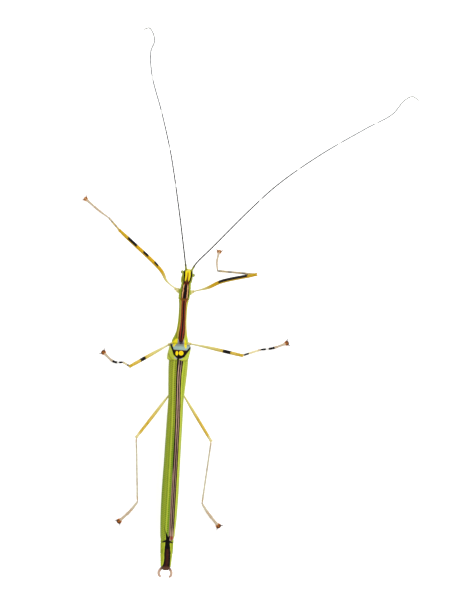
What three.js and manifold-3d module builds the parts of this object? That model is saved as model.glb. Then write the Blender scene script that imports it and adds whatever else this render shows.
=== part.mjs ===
// A winged male stick insect, whole and still, standing on its six feet.
//
// Millimetres, +Z up, the floor at Z = 0. The long axis of the body runs along Y with the head at +Y,
// and the insect's left side is at -X. Inside the file everything is placed in the body frame, whose
// origin lies on the floor below the point midway between the middle hips. The last lines move that
// frame so that the row's origin is the bottom centre of the box round the whole insect.
import * as THREE from 'three';
import { mergeVertices } from 'three/addons/utils/BufferGeometryUtils.js';
import Module from 'manifold-3d';

const wasm = await Module();
wasm.setup();

// ---------------------------------------------------------------- driving dimensions, mm

// Where the body frame stands in the row frame.
const BODY_X = -11.73;
const BODY_Y = -6;

// Cuts across the body, as places along Y, from the head to the tail.
const HEAD_FRONT = 15.55;
const NECK = 12.6;
const PRONOTUM_REAR = 9.2;
const MESOTHORAX_REAR = 0.3;
const METATHORAX_REAR = -9.9;
const ABDOMEN_CUTS = [-19, -29.5, -39.7, -42.2];
const ABDOMEN_REAR = -44.2;
const BODY_REAR = -45.9;
const WING_FRONT = -3.2;
const WING_TIP = -39.9;
const TEGMEN_FRONT = 0.18;

// The centre line of the body: [Y, X] and [Y, Z].
const SPINE_X = [
  [-46, 0.45], [-38, 0.35], [-20, 0.24], [-5, 0.18], [0, 0.17], [1.9, 0.33], [3, 0.41], [8, 0.42],
  [9.6, 0.45], [12.5, 0.75], [16, 0.8],
];
const SPINE_Z = [[-46, 3.7], [-38, 4.15], [-20, 4.95], [-5, 5.55], [2, 5.9], [9, 6.15], [16, 6.35]];

// Half sizes of the body's cross-section at stations along Y: to the side, up and down.
const HALF_WIDTH = [
  [-46, 0.78], [-45, 1.05], [-43.6, 1.16], [-42, 1.3], [-40, 1.34], [-38, 1.08], [-30, 1.06], [-12, 1.06],
  [-4, 1.18], [-1.2, 1.32], [-0.3, 1.42], [0.4, 1.64], [0.9, 1.64], [1.85, 1.35], [2.9, 1.09], [5, 0.88],
  [7, 0.84], [8.4, 0.9], [9.3, 1.12], [10.6, 1.18], [11.6, 1.08], [12.6, 0.98],
];
const HALF_RISE = [
  [-46, 0.6], [-45, 0.78], [-42, 0.95], [-39.8, 0.95], [-38, 0.8], [-30, 0.78], [-12, 0.8], [-4, 0.9],
  [0.6, 1.12], [2, 1.05], [5, 0.85], [8.4, 0.85], [9.3, 0.92], [11.6, 0.88], [12.6, 0.78],
];
const HALF_DEPTH = [
  [-46, 0.55], [-45, 0.85], [-42, 1.15], [-39.8, 1.1], [-38, 0.98], [-30, 0.96], [-12, 1], [-8, 1.12],
  [-4, 1.15], [0.6, 1.25], [2, 1.12], [5, 0.88], [8.4, 0.9], [9.3, 1], [11.6, 1.02], [12.6, 0.85],
];

// The head is a bulb, longer than wide, turned a little to the insect's right.
const HEAD_HALF_WIDTH = 1.13;
const HEAD_HALF_HEIGHT = 0.98;
const HEAD_YAW = -0.13;
const HEAD_PITCH = -0.1;
const HEAD_FULLNESS = 0.45;
const HEAD_NARROWING = 0.08;
const EYE_RADIUS = 0.4;
const EYE_OUT = 1.12;
const EYE_FORWARD = 0.5;
const EYE_UP = 0.16;
const EYE_SKEW = 0.12;

// Fore wings (tegmina) and folded hind wings: half width and height of their outer faces over the spine.
const SHELL_THICKNESS = 0.48;
const TEGMEN_HALF_WIDTH = [[-4, 1.96], [-2.9, 2.12], [-1.7, 2.3], [-0.5, 2.12], [0.5, 1.86]];
const TEGMEN_RISE = [[-4, 1.58], [-1.7, 1.78], [0.5, 1.72]];
const WING_HALF_WIDTH = [
  [-40, 1.42], [-38.3, 1.5], [-35, 1.66], [-30, 1.73], [-24, 1.66], [-15, 1.6], [-11.4, 1.56], [-9, 1.7],
  [-3.7, 1.95],
];
const WING_RISE = [[-40, 1.3], [-38, 1.34], [-20, 1.36], [-8, 1.42], [-3.7, 1.5]];
const WING_SEAM = [[-40, 0.42], [-30, 0.42], [-17, 0.32], [-3.7, -0.08]];
const WING_EDGE_ANGLE = -0.05;
const TEGMEN_EDGE_ANGLE = 0.06;
const WING_TIP_ROUND = 2.2;
const WING_TIP_ANGLE = 0.75;

// Feelers.
const ANTENNA_RADIUS = 0.27;
const SCAPE_RADIUS = 0.31;
const SCAPE_LENGTH = 1.5;
const ANTENNAE = {
  left: [
    [0.48, 15.45, 6.6], [-0.4, 20.5, 10.4], [-1.6, 27.1, 15.4], [-3.7, 37.3, 23.3], [-5.8, 44.7, 29.5],
    [-8, 51.4, 35.2], [-8.4, 55.5, 37.4], [-7.8, 57.6, 38.1], [-8.9, 59.7, 38.5], [-9.9, 59.4, 38.4],
  ],
  right: [
    [1.56, 15.22, 6.6], [2.4, 16.7, 6.8], [5.4, 20.1, 7.2], [12.4, 28.1, 8.2], [17.8, 33.7, 8.6], [26, 40.3, 8.8],
    [34.9, 46.3, 8.4], [39.9, 49.5, 7.9], [42.2, 52.5, 7.6], [43.8, 53.4, 7.4], [45.1, 52.7, 7.2],
  ],
};

// Legs. Each is jointed at its hip, knee and ankle; the femur passes through its bends on the way, and
// the foot comes down at its sole and lies flat from there to the toe.
const COXA_RADIUS = 0.46;
const TROCHANTER_RADIUS = 0.34;
const LEG_GIRTHS = {
  fore: { femurBase: 0.28, femur: 0.4, femurTip: 0.36, tibiaBase: 0.28, tibia: 0.27, tibiaTip: 0.29 },
  mid: { femurBase: 0.29, femur: 0.36, femurTip: 0.34, tibiaBase: 0.28, tibia: 0.27, tibiaTip: 0.29 },
  hind: { femurBase: 0.3, femur: 0.37, femurTip: 0.34, tibiaBase: 0.28, tibia: 0.27, tibiaTip: 0.29 },
};
const FEMUR_SLENDER_TO = 0.2;
const FEMUR_FULL_FROM = 0.42;
const FEMUR_FULL_TO = 0.85;
const TIBIA_COLLAR = 0.1;
const FOOT_RADIUS = 0.27;
const PAD_HALF_WIDTH = 0.55;
const PAD_HALF_HEIGHT = 0.3;
const PAD_FROM = 0.72;
const PAD_FULL = 0.95;
const FOOT_BEND_TENSION = 0.25;
const LEGS = {
  fore_left: {
    pair: 'fore',
    root: [0.2, 10.5, 5.6],
    hip: [-1.35, 11.3, 5.1],
    bends: [[-3.3, 12.8, 7.2], [-4.5, 14.8, 8.8]],
    knee: [-13.1, 22.1, 14.2],
    ankle: [-16.1, 24.9, 1.6],
    sole: [-18.4, 26.4, 0.4],
    toe: [-21.5, 28.75, 0.24],
  },
  fore_right: {
    pair: 'fore',
    root: [0.9, 10.5, 5.6],
    hip: [2.1, 11, 5.1],
    bends: [[5.15, 12, 8], [7.6, 13.3, 9.9]],
    knee: [14.6, 15.2, 16.8],
    ankle: [6.85, 15.55, 5.5],
    sole: [6.6, 17.5, 2.7],
    toe: [6.95, 19.8, 0.24],
  },
  mid_left: {
    pair: 'mid',
    root: [-0.3, 0.1, 5.2],
    hip: [-1.9, 0, 4.7],
    bends: [[-4.6, -1.75, 7.8]],
    knee: [-9.3, -4.8, 12.3],
    ankle: [-11.1, -4.4, 2.1],
    sole: [-13.2, -4.4, 0.4],
    toe: [-15.6, -2.5, 0.24],
  },
  mid_right: {
    pair: 'mid',
    root: [0.7, 0.3, 5.2],
    hip: [2.2, 0.4, 4.7],
    bends: [[5.8, -0.05, 6.6]],
    knee: [13, -1.15, 10.4],
    ankle: [16.75, 0.1, 1],
    sole: [19.3, 0.6, 0.4],
    toe: [22.3, 1.9, 0.24],
  },
  hind_left: {
    pair: 'hind',
    root: [0, -8.8, 4.8],
    hip: [-0.6, -9.3, 4.05],
    bends: [[-3.45, -13.6, 6.15]],
    knee: [-7.15, -19.05, 9.3],
    ankle: [-6.3, -32.8, 1],
    sole: [-7.6, -34.7, 0.4],
    toe: [-10, -37.25, 0.24],
  },
  hind_right: {
    pair: 'hind',
    root: [0.4, -8.8, 4.8],
    hip: [1.1, -9.3, 4.05],
    bends: [[3.85, -13.15, 6.15]],
    knee: [7.95, -18.8, 9.4],
    ankle: [6.95, -32.2, 1],
    sole: [8.3, -34.1, 0.4],
    toe: [10.8, -36.85, 0.24],
  },
};

// Claspers (cerci) behind the last segment, and the palps below the mouth.
const CERCUS_RADIUS = 0.3;
const CERCUS_TIP_RADIUS = 0.25;
const CERCI = {
  left: [[-0.3, -45.7, 3.7], [-0.85, -46.4, 3.6], [-0.8, -47.1, 3.5], [-0.4, -47.5, 3.45]],
  right: [[1.2, -45.7, 3.7], [1.65, -46.4, 3.6], [1.6, -47.1, 3.5], [1.2, -47.5, 3.45]],
};
const PALP_RADIUS = 0.27;
const PALPS = {
  left: [[0.5, 14.3, 5.4], [0.4, 14.95, 5.05], [0.45, 15.4, 4.85]],
  right: [[1.2, 14.2, 5.4], [1.45, 14.8, 5.05], [1.45, 15.25, 4.85]],
};

// Thin cuts between neighbouring pieces, the clearance under a shell or at a socket, and a length that is
// larger than the whole insect. Points closer together than WELD are one point.
const CUT = 0.12;
const CLEARANCE = 0.1;
const REACH = 200;
const WELD = 1e-5;

// Facets round a section, and the distance between stations along a piece.
const BODY_SIDES = 18;
const LIMB_SIDES = 8;
const HEAD_SIDES = 16;
const HEAD_RINGS = 10;
const EYE_SIDES = 12;
const EYE_RINGS = 8;
const BODY_STEP = 1.3;
const LONG_STEP = 2.6;
const LIMB_STEP = 2;
const ANTENNA_STEPS = [2.6, 2.4, 1.4];
const SHELL_SEGMENTS = 8;
const ARC_DIVISIONS = 400;

const PALETTE = {
  head: { color: 0xb9b520, roughness: 0.4 },
  eye: { color: 0x6f8a1c, roughness: 0.25 },
  trunk: { color: 0x8aa21c, roughness: 0.45 },
  dark: { color: 0x3a1c14, roughness: 0.45 },
  wing: { color: 0x8fae22, roughness: 0.4 },
  tegmen: { color: 0xa9b326, roughness: 0.4 },
  antenna: { color: 0x2b2a28, roughness: 0.5 },
  femur: { color: 0xd2a528, roughness: 0.4 },
  tibia: { color: 0xd9cfa4, roughness: 0.45 },
  foot: { color: 0xb98a55, roughness: 0.5 },
  cercus: { color: 0xc79b86, roughness: 0.45 },
};

// ---------------------------------------------------------------- helpers

const vector = (point) => new THREE.Vector3(...point);

/** A smooth function of Y through [Y, value] pairs, held level past both ends. */
function profile(pairs) {
  const values = pairs.map(([, value]) => value);
  const places = pairs.map(([place]) => place);
  const interpolant = new THREE.CubicInterpolant(places, values, 1);
  return (y) => interpolant.evaluate(THREE.MathUtils.clamp(y, places[0], places.at(-1)))[0];
}

const spineX = profile(SPINE_X);
const spineZ = profile(SPINE_Z);
const halfWidth = profile(HALF_WIDTH);
const halfRise = profile(HALF_RISE);
const halfDepth = profile(HALF_DEPTH);

/** Moves each vertex of a geometry to where place(x, y, z) says, and returns the geometry. */
function reshape(geometry, place) {
  const position = geometry.getAttribute('position');
  for (let i = 0; i < position.count; i += 1) {
    const moved = place(position.getX(i), position.getY(i), position.getZ(i));
    position.setXYZ(i, moved.x, moved.y, moved.z);
  }
  geometry.deleteAttribute('normal');
  geometry.deleteAttribute('uv');
  return mergeVertices(geometry, WELD);
}

/** A closed geometry as a manifold solid. */
function solid(geometry) {
  return new wasm.Manifold(new wasm.Mesh({
    numProp: 3,
    vertProperties: new Float32Array(geometry.getAttribute('position').array),
    triVerts: new Uint32Array(geometry.index.array),
  }));
}

/** A manifold solid as a geometry. */
function geometryOf(manifold) {
  const mesh = manifold.getMesh();
  const geometry = new THREE.BufferGeometry();
  geometry.setAttribute('position', new THREE.BufferAttribute(new Float32Array(mesh.vertProperties), 3));
  geometry.setIndex(new THREE.BufferAttribute(new Uint32Array(mesh.triVerts), 1));
  return geometry;
}

/** Everything past the plane through a point, on the side to which the normal points. */
function halfSpace(point, normal) {
  const block = new THREE.BoxGeometry(REACH, REACH, REACH);
  block.translate(0, 0, REACH / 2);
  const turn = new THREE.Quaternion().setFromUnitVectors(new THREE.Vector3(0, 0, 1), normal);
  return solid(reshape(block, (x, y, z) => new THREE.Vector3(x, y, z).applyQuaternion(turn).add(point)));
}

/** Profile heights from one end to the other, no further apart than a step. */
function stations(from, to, step) {
  const count = Math.max(1, Math.ceil(Math.abs(to - from) / step));
  return Array.from({ length: count + 1 }, (_, i) => THREE.MathUtils.lerp(from, to, i / count));
}

/** A length of the trunk between two places along Y, with flat ends, grown outward by a margin. */
function trunk(rear, front, step, margin = 0) {
  const rings = stations(rear, front, step).map((y) => new THREE.Vector2(1, y));
  const outline = [new THREE.Vector2(0, rear), ...rings, new THREE.Vector2(0, front)];
  return reshape(new THREE.LatheGeometry(outline, BODY_SIDES), (x, y, z) => new THREE.Vector3(
    spineX(y) + x * (halfWidth(y) + margin),
    y,
    spineZ(y) + z * ((z > 0 ? halfRise(y) : halfDepth(y)) + margin),
  ));
}

/**
 * A round limb along a curve, whose radius is a function of the fraction along it. It covers the curve from
 * one fraction to another, with domed or flat ends, and flatten gives factors for its width and height.
 */
function limb(curve, radius, step, options = {}) {
  const { from = 0, to = 1, domeStart = true, domeEnd = true, flatten = () => [1, 1] } = options;
  const length = curve.getLength();
  const [start, end] = [from * length, to * length];
  const [startRadius, endRadius] = [radius(from), radius(to)];
  const dome = Math.SQRT1_2;
  const outline = [new THREE.Vector2(0, domeStart ? start - startRadius : start)];
  if (domeStart) outline.push(new THREE.Vector2(dome * startRadius, start - dome * startRadius));
  stations(start, end, step).forEach((s) => outline.push(new THREE.Vector2(radius(s / length), s)));
  if (domeEnd) outline.push(new THREE.Vector2(dome * endRadius, end + dome * endRadius));
  outline.push(new THREE.Vector2(0, domeEnd ? end + endRadius : end));
  return reshape(new THREE.LatheGeometry(outline, LIMB_SIDES), (x, y, z) => {
    const fraction = THREE.MathUtils.clamp(y / length, 0, 1);
    const tangent = curve.getTangentAt(fraction);
    const side = new THREE.Vector3().crossVectors(tangent, new THREE.Vector3(0, 0, 1)).normalize();
    const up = new THREE.Vector3().crossVectors(side, tangent);
    const [wide, high] = flatten(fraction);
    return curve.getPointAt(fraction)
      .addScaledVector(tangent, y - fraction * length)
      .addScaledVector(side, x * wide)
      .addScaledVector(up, z * high);
  });
}

/** A piecewise straight blend between radii at fractions along a limb. */
function taper(pairs) {
  return (fraction) => {
    const next = Math.max(1, pairs.findIndex(([place]) => place >= fraction));
    const [[a, first], [b, second]] = [pairs[next - 1], pairs[next]];
    return THREE.MathUtils.mapLinear(THREE.MathUtils.clamp(fraction, a, b), a, b, first, second);
  };
}

/** The plane that parts two limbs at a joint: it halves the angle between the way in and the way out. */
function mitre(before, joint, after) {
  const way = joint.clone().sub(before).normalize().add(after.clone().sub(joint).normalize());
  return { point: joint, normal: way.normalize() };
}

/** What lies before a plane, less half of a cut. */
function keepBefore(manifold, { point, normal }) {
  return manifold.subtract(halfSpace(point.clone().addScaledVector(normal, -CUT / 2), normal));
}

/** What lies past a plane, less half of a cut. */
function keepPast(manifold, { point, normal }) {
  const back = normal.clone().negate();
  return manifold.subtract(halfSpace(point.clone().addScaledVector(back, -CUT / 2), back));
}

/** Half of a roof-shaped shell over the trunk and clear of it, from the seam to the lower edge on one side. */
function shell({ side, rear, front, width, rise, seam, edge, step }) {
  const box = new THREE.BoxGeometry(1, 1, 1, SHELL_SEGMENTS, 1, stations(rear, front, step).length - 1);
  return reshape(box, (u, v, w) => {
    const y = THREE.MathUtils.lerp(front, rear, w + 0.5);
    const [outerAcross, outerHigh] = [width(y), rise(y)];
    const innerAcross = Math.max(outerAcross - SHELL_THICKNESS, halfWidth(y) + CLEARANCE);
    const innerHigh = Math.max(outerHigh - SHELL_THICKNESS, halfRise(y) + CLEARANCE);
    const [across, high] = v < 0 ? [innerAcross, innerHigh] : [outerAcross, outerHigh];
    const seamAngle = Math.acos(THREE.MathUtils.clamp((side * seam(y) + CUT / 2) / across, -1, 1));
    const share = side > 0 ? u + 0.5 : 0.5 - u;
    const angle = THREE.MathUtils.lerp(seamAngle, edge(y), share);
    return new THREE.Vector3(
      spineX(y) + side * across * Math.cos(angle),
      y,
      spineZ(y) + high * Math.sin(angle),
    );
  });
}

const insect = new THREE.Group();
const bodyFrame = new THREE.Group();
bodyFrame.position.set(BODY_X, BODY_Y, 0);
insect.add(bodyFrame);

/** Adds one named piece to the insect, in one of the palette's finishes. */
function addPiece(name, geometry, finish) {
  const material = new THREE.MeshStandardMaterial({ ...PALETTE[finish], metalness: 0 });
  const mesh = new THREE.Mesh(geometry, material);
  mesh.name = name;
  bodyFrame.add(mesh);
}

// ---------------------------------------------------------------- trunk

function addTrunk() {
  addPiece('pronotum', trunk(PRONOTUM_REAR + CUT / 2, NECK - CUT / 2, BODY_STEP), 'trunk');
  addPiece('mesothorax', trunk(MESOTHORAX_REAR + CUT / 2, PRONOTUM_REAR - CUT / 2, BODY_STEP), 'trunk');
  addPiece('metathorax', trunk(METATHORAX_REAR + CUT / 2, MESOTHORAX_REAR - CUT / 2, LONG_STEP), 'trunk');
  const cuts = [METATHORAX_REAR, ...ABDOMEN_CUTS, ABDOMEN_REAR];
  cuts.slice(1).forEach((rear, i) => {
    addPiece(`abdomen_${i + 1}`, trunk(rear + CUT / 2, cuts[i] - CUT / 2, LONG_STEP), 'trunk');
  });
  addPiece('anal_segment', trunk(BODY_REAR, ABDOMEN_REAR - CUT / 2, BODY_STEP / 2), 'dark');
}

// ---------------------------------------------------------------- head, eyes, mouth and feelers

/** The head's own frame: its origin at mid-length, +Y forward. */
function headFrame() {
  const middle = (NECK + HEAD_FRONT) / 2;
  const centre = new THREE.Vector3(spineX(middle), middle, spineZ(middle));
  const turn = new THREE.Euler(HEAD_PITCH, 0, HEAD_YAW, 'ZXY');
  return new THREE.Matrix4().makeRotationFromEuler(turn).setPosition(centre);
}

/** The head as a full bulb, grown outward by a margin. */
function headBulb(margin = 0) {
  const halfLength = (HEAD_FRONT - NECK) / 2;
  const frame = headFrame();
  const bulb = new THREE.SphereGeometry(1, HEAD_SIDES, HEAD_RINGS);
  return reshape(bulb, (x, y, z) => {
    const ring = Math.max(Math.hypot(x, z), WELD);
    const fuller = ring ** (HEAD_FULLNESS - 1);
    const narrowing = 1 - HEAD_NARROWING * y * y;
    return new THREE.Vector3(
      x * fuller * narrowing * (HEAD_HALF_WIDTH + margin),
      y * (halfLength + margin),
      z * fuller * narrowing * (HEAD_HALF_HEIGHT + margin),
    ).applyMatrix4(frame);
  });
}

function addHead() {
  const neck = { point: new THREE.Vector3(0, NECK, 0), normal: new THREE.Vector3(0, -1, 0) };
  const margin = solid(headBulb(CLEARANCE));
  addPiece('head', geometryOf(keepBefore(solid(headBulb()), neck)), 'head');
  const frame = headFrame();
  [['left', -1], ['right', 1]].forEach(([name, side]) => {
    const ball = new THREE.SphereGeometry(EYE_RADIUS, EYE_SIDES, EYE_RINGS);
    const forward = EYE_FORWARD - side * EYE_SKEW;
    const centre = new THREE.Vector3(side * EYE_OUT, forward, EYE_UP).applyMatrix4(frame);
    const eye = solid(reshape(ball, (x, y, z) => new THREE.Vector3(x, y, z).add(centre)));
    addPiece(`eye_${name}`, geometryOf(eye.subtract(margin)), 'eye');
  });
  Object.entries(PALPS).forEach(([name, points]) => {
    const curve = new THREE.CatmullRomCurve3(points.map(vector));
    const palp = solid(limb(curve, () => PALP_RADIUS, LIMB_STEP / 2));
    addPiece(`palp_${name}`, geometryOf(palp.subtract(margin)), 'head');
  });
  Object.entries(ANTENNAE).forEach(([name, points]) => addAntenna(name, points, margin));
}

/** A feeler: a stout base, then a thread in a few lengths. */
function addAntenna(name, points, headMargin) {
  const curve = new THREE.CatmullRomCurve3(points.map(vector));
  curve.arcLengthDivisions = ARC_DIVISIONS;
  const length = curve.getLength();
  const gap = CUT / length;
  const baseShare = SCAPE_LENGTH / length;
  const base = limb(curve, () => SCAPE_RADIUS, LIMB_STEP / 2, { to: baseShare - gap, domeEnd: false });
  addPiece(`antenna_base_${name}`, geometryOf(solid(base).subtract(headMargin)), 'antenna');
  const share = (1 - baseShare) / ANTENNA_STEPS.length;
  for (let i = 0; i < ANTENNA_STEPS.length; i += 1) {
    const last = i === ANTENNA_STEPS.length - 1;
    const from = baseShare + i * share;
    const thread = limb(curve, () => ANTENNA_RADIUS, ANTENNA_STEPS[i], {
      from, to: from + share - (last ? 0 : gap), domeStart: false, domeEnd: last,
    });
    addPiece(`antenna_${name}_${i + 1}`, thread, 'antenna');
  }
}

// ---------------------------------------------------------------- wings

function addWings() {
  const tipAngle = (y) => {
    const past = THREE.MathUtils.clamp((WING_TIP + WING_TIP_ROUND - y) / WING_TIP_ROUND, 0, 1);
    return WING_EDGE_ANGLE + WING_TIP_ANGLE * past * past;
  };
  [['left', -1], ['right', 1]].forEach(([name, side]) => {
    addPiece(`wing_${name}`, shell({
      side,
      rear: WING_TIP,
      front: WING_FRONT - CUT / 2,
      width: profile(WING_HALF_WIDTH),
      rise: profile(WING_RISE),
      seam: profile(WING_SEAM),
      edge: tipAngle,
      step: LONG_STEP,
    }), 'wing');
    addPiece(`tegmen_${name}`, shell({
      side,
      rear: WING_FRONT + CUT / 2,
      front: TEGMEN_FRONT,
      width: profile(TEGMEN_HALF_WIDTH),
      rise: profile(TEGMEN_RISE),
      seam: () => 0,
      edge: () => TEGMEN_EDGE_ANGLE,
      step: BODY_STEP / 2,
    }), 'tegmen');
  });
}

// ---------------------------------------------------------------- legs

/** One leg in four pieces, parted by thin cuts at the hip, the knee and the ankle. */
function addLeg(name, leg) {
  const [root, hip, knee, ankle, sole, toe] = [
    leg.root, leg.hip, leg.knee, leg.ankle, leg.sole, leg.toe,
  ].map(vector);
  const bends = leg.bends.map(vector);
  const girth = LEG_GIRTHS[leg.pair];
  const hipCut = mitre(root, hip, bends[0]);
  const kneeCut = mitre(bends.at(-1), knee, ankle);
  const ankleCut = mitre(knee, ankle, sole);

  const socket = solid(trunk(hip.y - LIMB_STEP, hip.y + LIMB_STEP, BODY_STEP, CLEARANCE));
  const coxaRadius = taper([[0, COXA_RADIUS], [1, TROCHANTER_RADIUS]]);
  const coxa = solid(limb(new THREE.LineCurve3(root, hip), coxaRadius, LIMB_STEP));
  addPiece(`${name}_coxa`, geometryOf(keepBefore(coxa.subtract(socket), hipCut)), 'trunk');

  const femurRadius = taper([
    [0, girth.femurBase],
    [FEMUR_SLENDER_TO, girth.femurBase],
    [FEMUR_FULL_FROM, girth.femur],
    [FEMUR_FULL_TO, girth.femur],
    [1, girth.femurTip],
  ]);
  const femur = solid(limb(new THREE.CatmullRomCurve3([hip, ...bends, knee]), femurRadius, LIMB_STEP));
  addPiece(`${name}_femur`, geometryOf(keepBefore(keepPast(femur, hipCut), kneeCut)), 'femur');

  const tibiaRadius = taper([
    [0, girth.tibiaBase],
    [TIBIA_COLLAR, girth.tibia],
    [1 - TIBIA_COLLAR, girth.tibia],
    [1, girth.tibiaTip],
  ]);
  const tibia = solid(limb(new THREE.LineCurve3(knee, ankle), tibiaRadius, REACH));
  addPiece(`${name}_tibia`, geometryOf(keepBefore(keepPast(tibia, kneeCut), ankleCut)), 'tibia');

  const path = new THREE.CatmullRomCurve3([ankle, sole, toe], false, 'catmullrom', FOOT_BEND_TENSION);
  const widen = (fraction) => {
    const padShare = THREE.MathUtils.smoothstep(fraction, PAD_FROM, PAD_FULL);
    return [
      THREE.MathUtils.lerp(1, PAD_HALF_WIDTH / FOOT_RADIUS, padShare),
      THREE.MathUtils.lerp(1, PAD_HALF_HEIGHT / FOOT_RADIUS, padShare),
    ];
  };
  const foot = solid(limb(path, () => FOOT_RADIUS, LIMB_STEP / 3, { flatten: widen }));
  // half of a cut below the floor, so that the sole itself ends on the floor
  const floor = { point: new THREE.Vector3(0, 0, -CUT / 2), normal: new THREE.Vector3(0, 0, 1) };
  addPiece(`${name}_foot`, geometryOf(keepPast(keepPast(foot, ankleCut), floor)), 'foot');
}

// ---------------------------------------------------------------- claspers

function addCerci() {
  Object.entries(CERCI).forEach(([name, points]) => {
    const curve = new THREE.CatmullRomCurve3(points.map(vector));
    const clasper = solid(limb(curve, taper([[0, CERCUS_RADIUS], [1, CERCUS_TIP_RADIUS]]), LIMB_STEP / 3));
    const rearFace = { point: new THREE.Vector3(0, BODY_REAR, 0), normal: new THREE.Vector3(0, -1, 0) };
    addPiece(`cercus_${name}`, geometryOf(keepPast(clasper, rearFace)), 'cercus');
  });
}

addTrunk();
addHead();
addWings();
Object.entries(LEGS).forEach(([name, leg]) => addLeg(name, leg));
addCerci();

export default insect;
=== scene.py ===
"""A winged male stick insect, still and life-size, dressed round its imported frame.

Sizes are millimetres in the body frame: +Y runs from the tail to the head, +Z is up, the floor is Z = 0 and
the insect's left side is at -X. Its origin is on the floor between the middle hips. Meshes are written in
metres in the row frame, which BODY_ORIGIN ties to the body frame.
"""
import logging
import math
from collections.abc import Sequence
from dataclasses import dataclass, field
from enum import Enum
import bpy
import numpy as np
from numpy.typing import NDArray
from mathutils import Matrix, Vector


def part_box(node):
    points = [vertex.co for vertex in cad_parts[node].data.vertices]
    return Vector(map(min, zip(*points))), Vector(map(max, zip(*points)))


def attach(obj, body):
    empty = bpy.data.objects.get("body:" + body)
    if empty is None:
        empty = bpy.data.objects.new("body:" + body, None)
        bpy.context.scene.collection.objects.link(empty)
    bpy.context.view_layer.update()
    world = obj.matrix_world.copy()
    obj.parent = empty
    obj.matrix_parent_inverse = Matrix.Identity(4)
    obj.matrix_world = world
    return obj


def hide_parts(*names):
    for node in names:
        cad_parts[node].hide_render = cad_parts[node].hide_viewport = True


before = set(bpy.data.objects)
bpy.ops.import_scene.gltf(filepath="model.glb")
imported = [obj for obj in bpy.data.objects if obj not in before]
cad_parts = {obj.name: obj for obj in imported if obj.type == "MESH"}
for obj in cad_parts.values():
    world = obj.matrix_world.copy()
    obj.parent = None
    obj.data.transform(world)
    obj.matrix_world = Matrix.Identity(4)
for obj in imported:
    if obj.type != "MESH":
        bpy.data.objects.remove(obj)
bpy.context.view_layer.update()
Array = NDArray[np.float64]
Point = tuple[float, float, float]
Pairs = Sequence[tuple[float, float]]
Triples = Sequence[tuple[float, float, float]]
log = logging.getLogger("stick_insect")
METRES = 0.001
BODY_ORIGIN = np.array([-11.73, -6.0, 0.0])
UP = np.array([0.0, 0.0, 1.0])
SEED = 64
LEAST_GIRTH = 0.002  # so that no end of a limb closes to nothing
HAIR_RADIUS = 0.011
HAIRS_ABOVE = 0.15  # height over the floor from which limbs carry hairs
HAIR_ROOT = 0.02  # depth of a hair's foot under the skin
USUAL_FADE = 0.3  # at the two ends of a paint's span
SIDE_FADE = 0.12  # half the fade at a paint's lower edge, as a sine round the body
FRAY = 0.22  # size of the noise that frays a paint's edges
FAR = 9.0  # the greatest distance to a drawn line that is told apart


# ------------------------------------------------------------------ named options


class Side(Enum):
    """The insect's left and right, as the sign of X."""

    LEFT = -1
    RIGHT = 1

    @property
    def label(self) -> str:
        """The side's name in node and piece names."""
        return self.name.lower()


class Pair(Enum):
    """The three pairs of legs."""

    FORE = "fore"
    MID = "mid"
    HIND = "hind"


class Ending(Enum):
    """How the two ends of a lofted surface are closed."""

    POINT = "a fan round one middle point"
    ZIP = "a strip that joins its two faces"


class Tint(Enum):
    """The insect's colours, as display values from 0 to 255."""

    LIME = (162, 172, 38)
    LEAF = (136, 150, 22)
    FERN = (120, 138, 12)
    MOSS = (98, 110, 14)
    SAGE = (172, 180, 84)
    BRIGHT_LIME = (190, 202, 58)
    BELLY = (172, 172, 96)
    LEMON = (238, 220, 28)
    CITRINE = (226, 214, 92)
    SAFFRON = (214, 172, 14)
    SUN = (255, 226, 18)
    APRICOT = (252, 196, 12)
    OCHRE = (192, 160, 30)
    HONEY = (214, 182, 82)
    GOLD = (204, 156, 2)
    STRAW = (214, 202, 122)
    IVORY = (222, 212, 158)
    BONE = (212, 206, 178)
    CREAM = (226, 186, 126)
    TAN = (204, 164, 142)
    ROSE = (150, 62, 44)
    BRICK = (138, 40, 14)
    MAROON = (74, 26, 16)
    UMBER = (112, 72, 20)
    MULBERRY = (64, 36, 32)
    CHESTNUT = (92, 58, 42)
    SOOT = (12, 4, 4)
    INK = (16, 12, 12)
    SLATE = (154, 182, 172)
    ASH = (140, 142, 128)
    STEEL = (86, 90, 92)
    GRAPHITE = (44, 44, 46)
    PEARL = (226, 226, 222)
    AMBER = (208, 150, 102)
    RUST = (182, 104, 34)
    BUFF = (206, 172, 108)
    GRASS = (96, 140, 8)
    PITCH = (40, 20, 15)
    DUST = (190, 176, 152)
    REED = (198, 174, 124)
    FAWN = (198, 176, 146)
    BLUSH = (196, 158, 140)
    LILAC = (164, 160, 172)
    OLIVE = (112, 108, 22)

    @property
    def linear(self) -> tuple[float, float, float, float]:
        """The colour as linear light, with full alpha, by the display curve's inverse."""
        shares = [value / 255 for value in self.value]
        return (*(s / 12.92 if s <= 0.04045 else ((s + 0.055) / 1.055) ** 2.4 for s in shares), 1.0)


# ------------------------------------------------------------------ curves and surfaces


def smooth(low: float, high: float, value: Array) -> Array:
    """A ramp from 0 at low to 1 at high, 3t^2 - 2t^3 in the share t of the way; low may be above high."""
    share = np.clip((value - low) / (high - low), 0.0, 1.0)
    return share * share * (3.0 - 2.0 * share)


def bell(value: Array, centre: float, spread: float) -> Array:
    """A bump of height 1: exp(-((value - centre) / spread)^2)."""
    return np.exp(-(((value - centre) / spread) ** 2))


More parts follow.
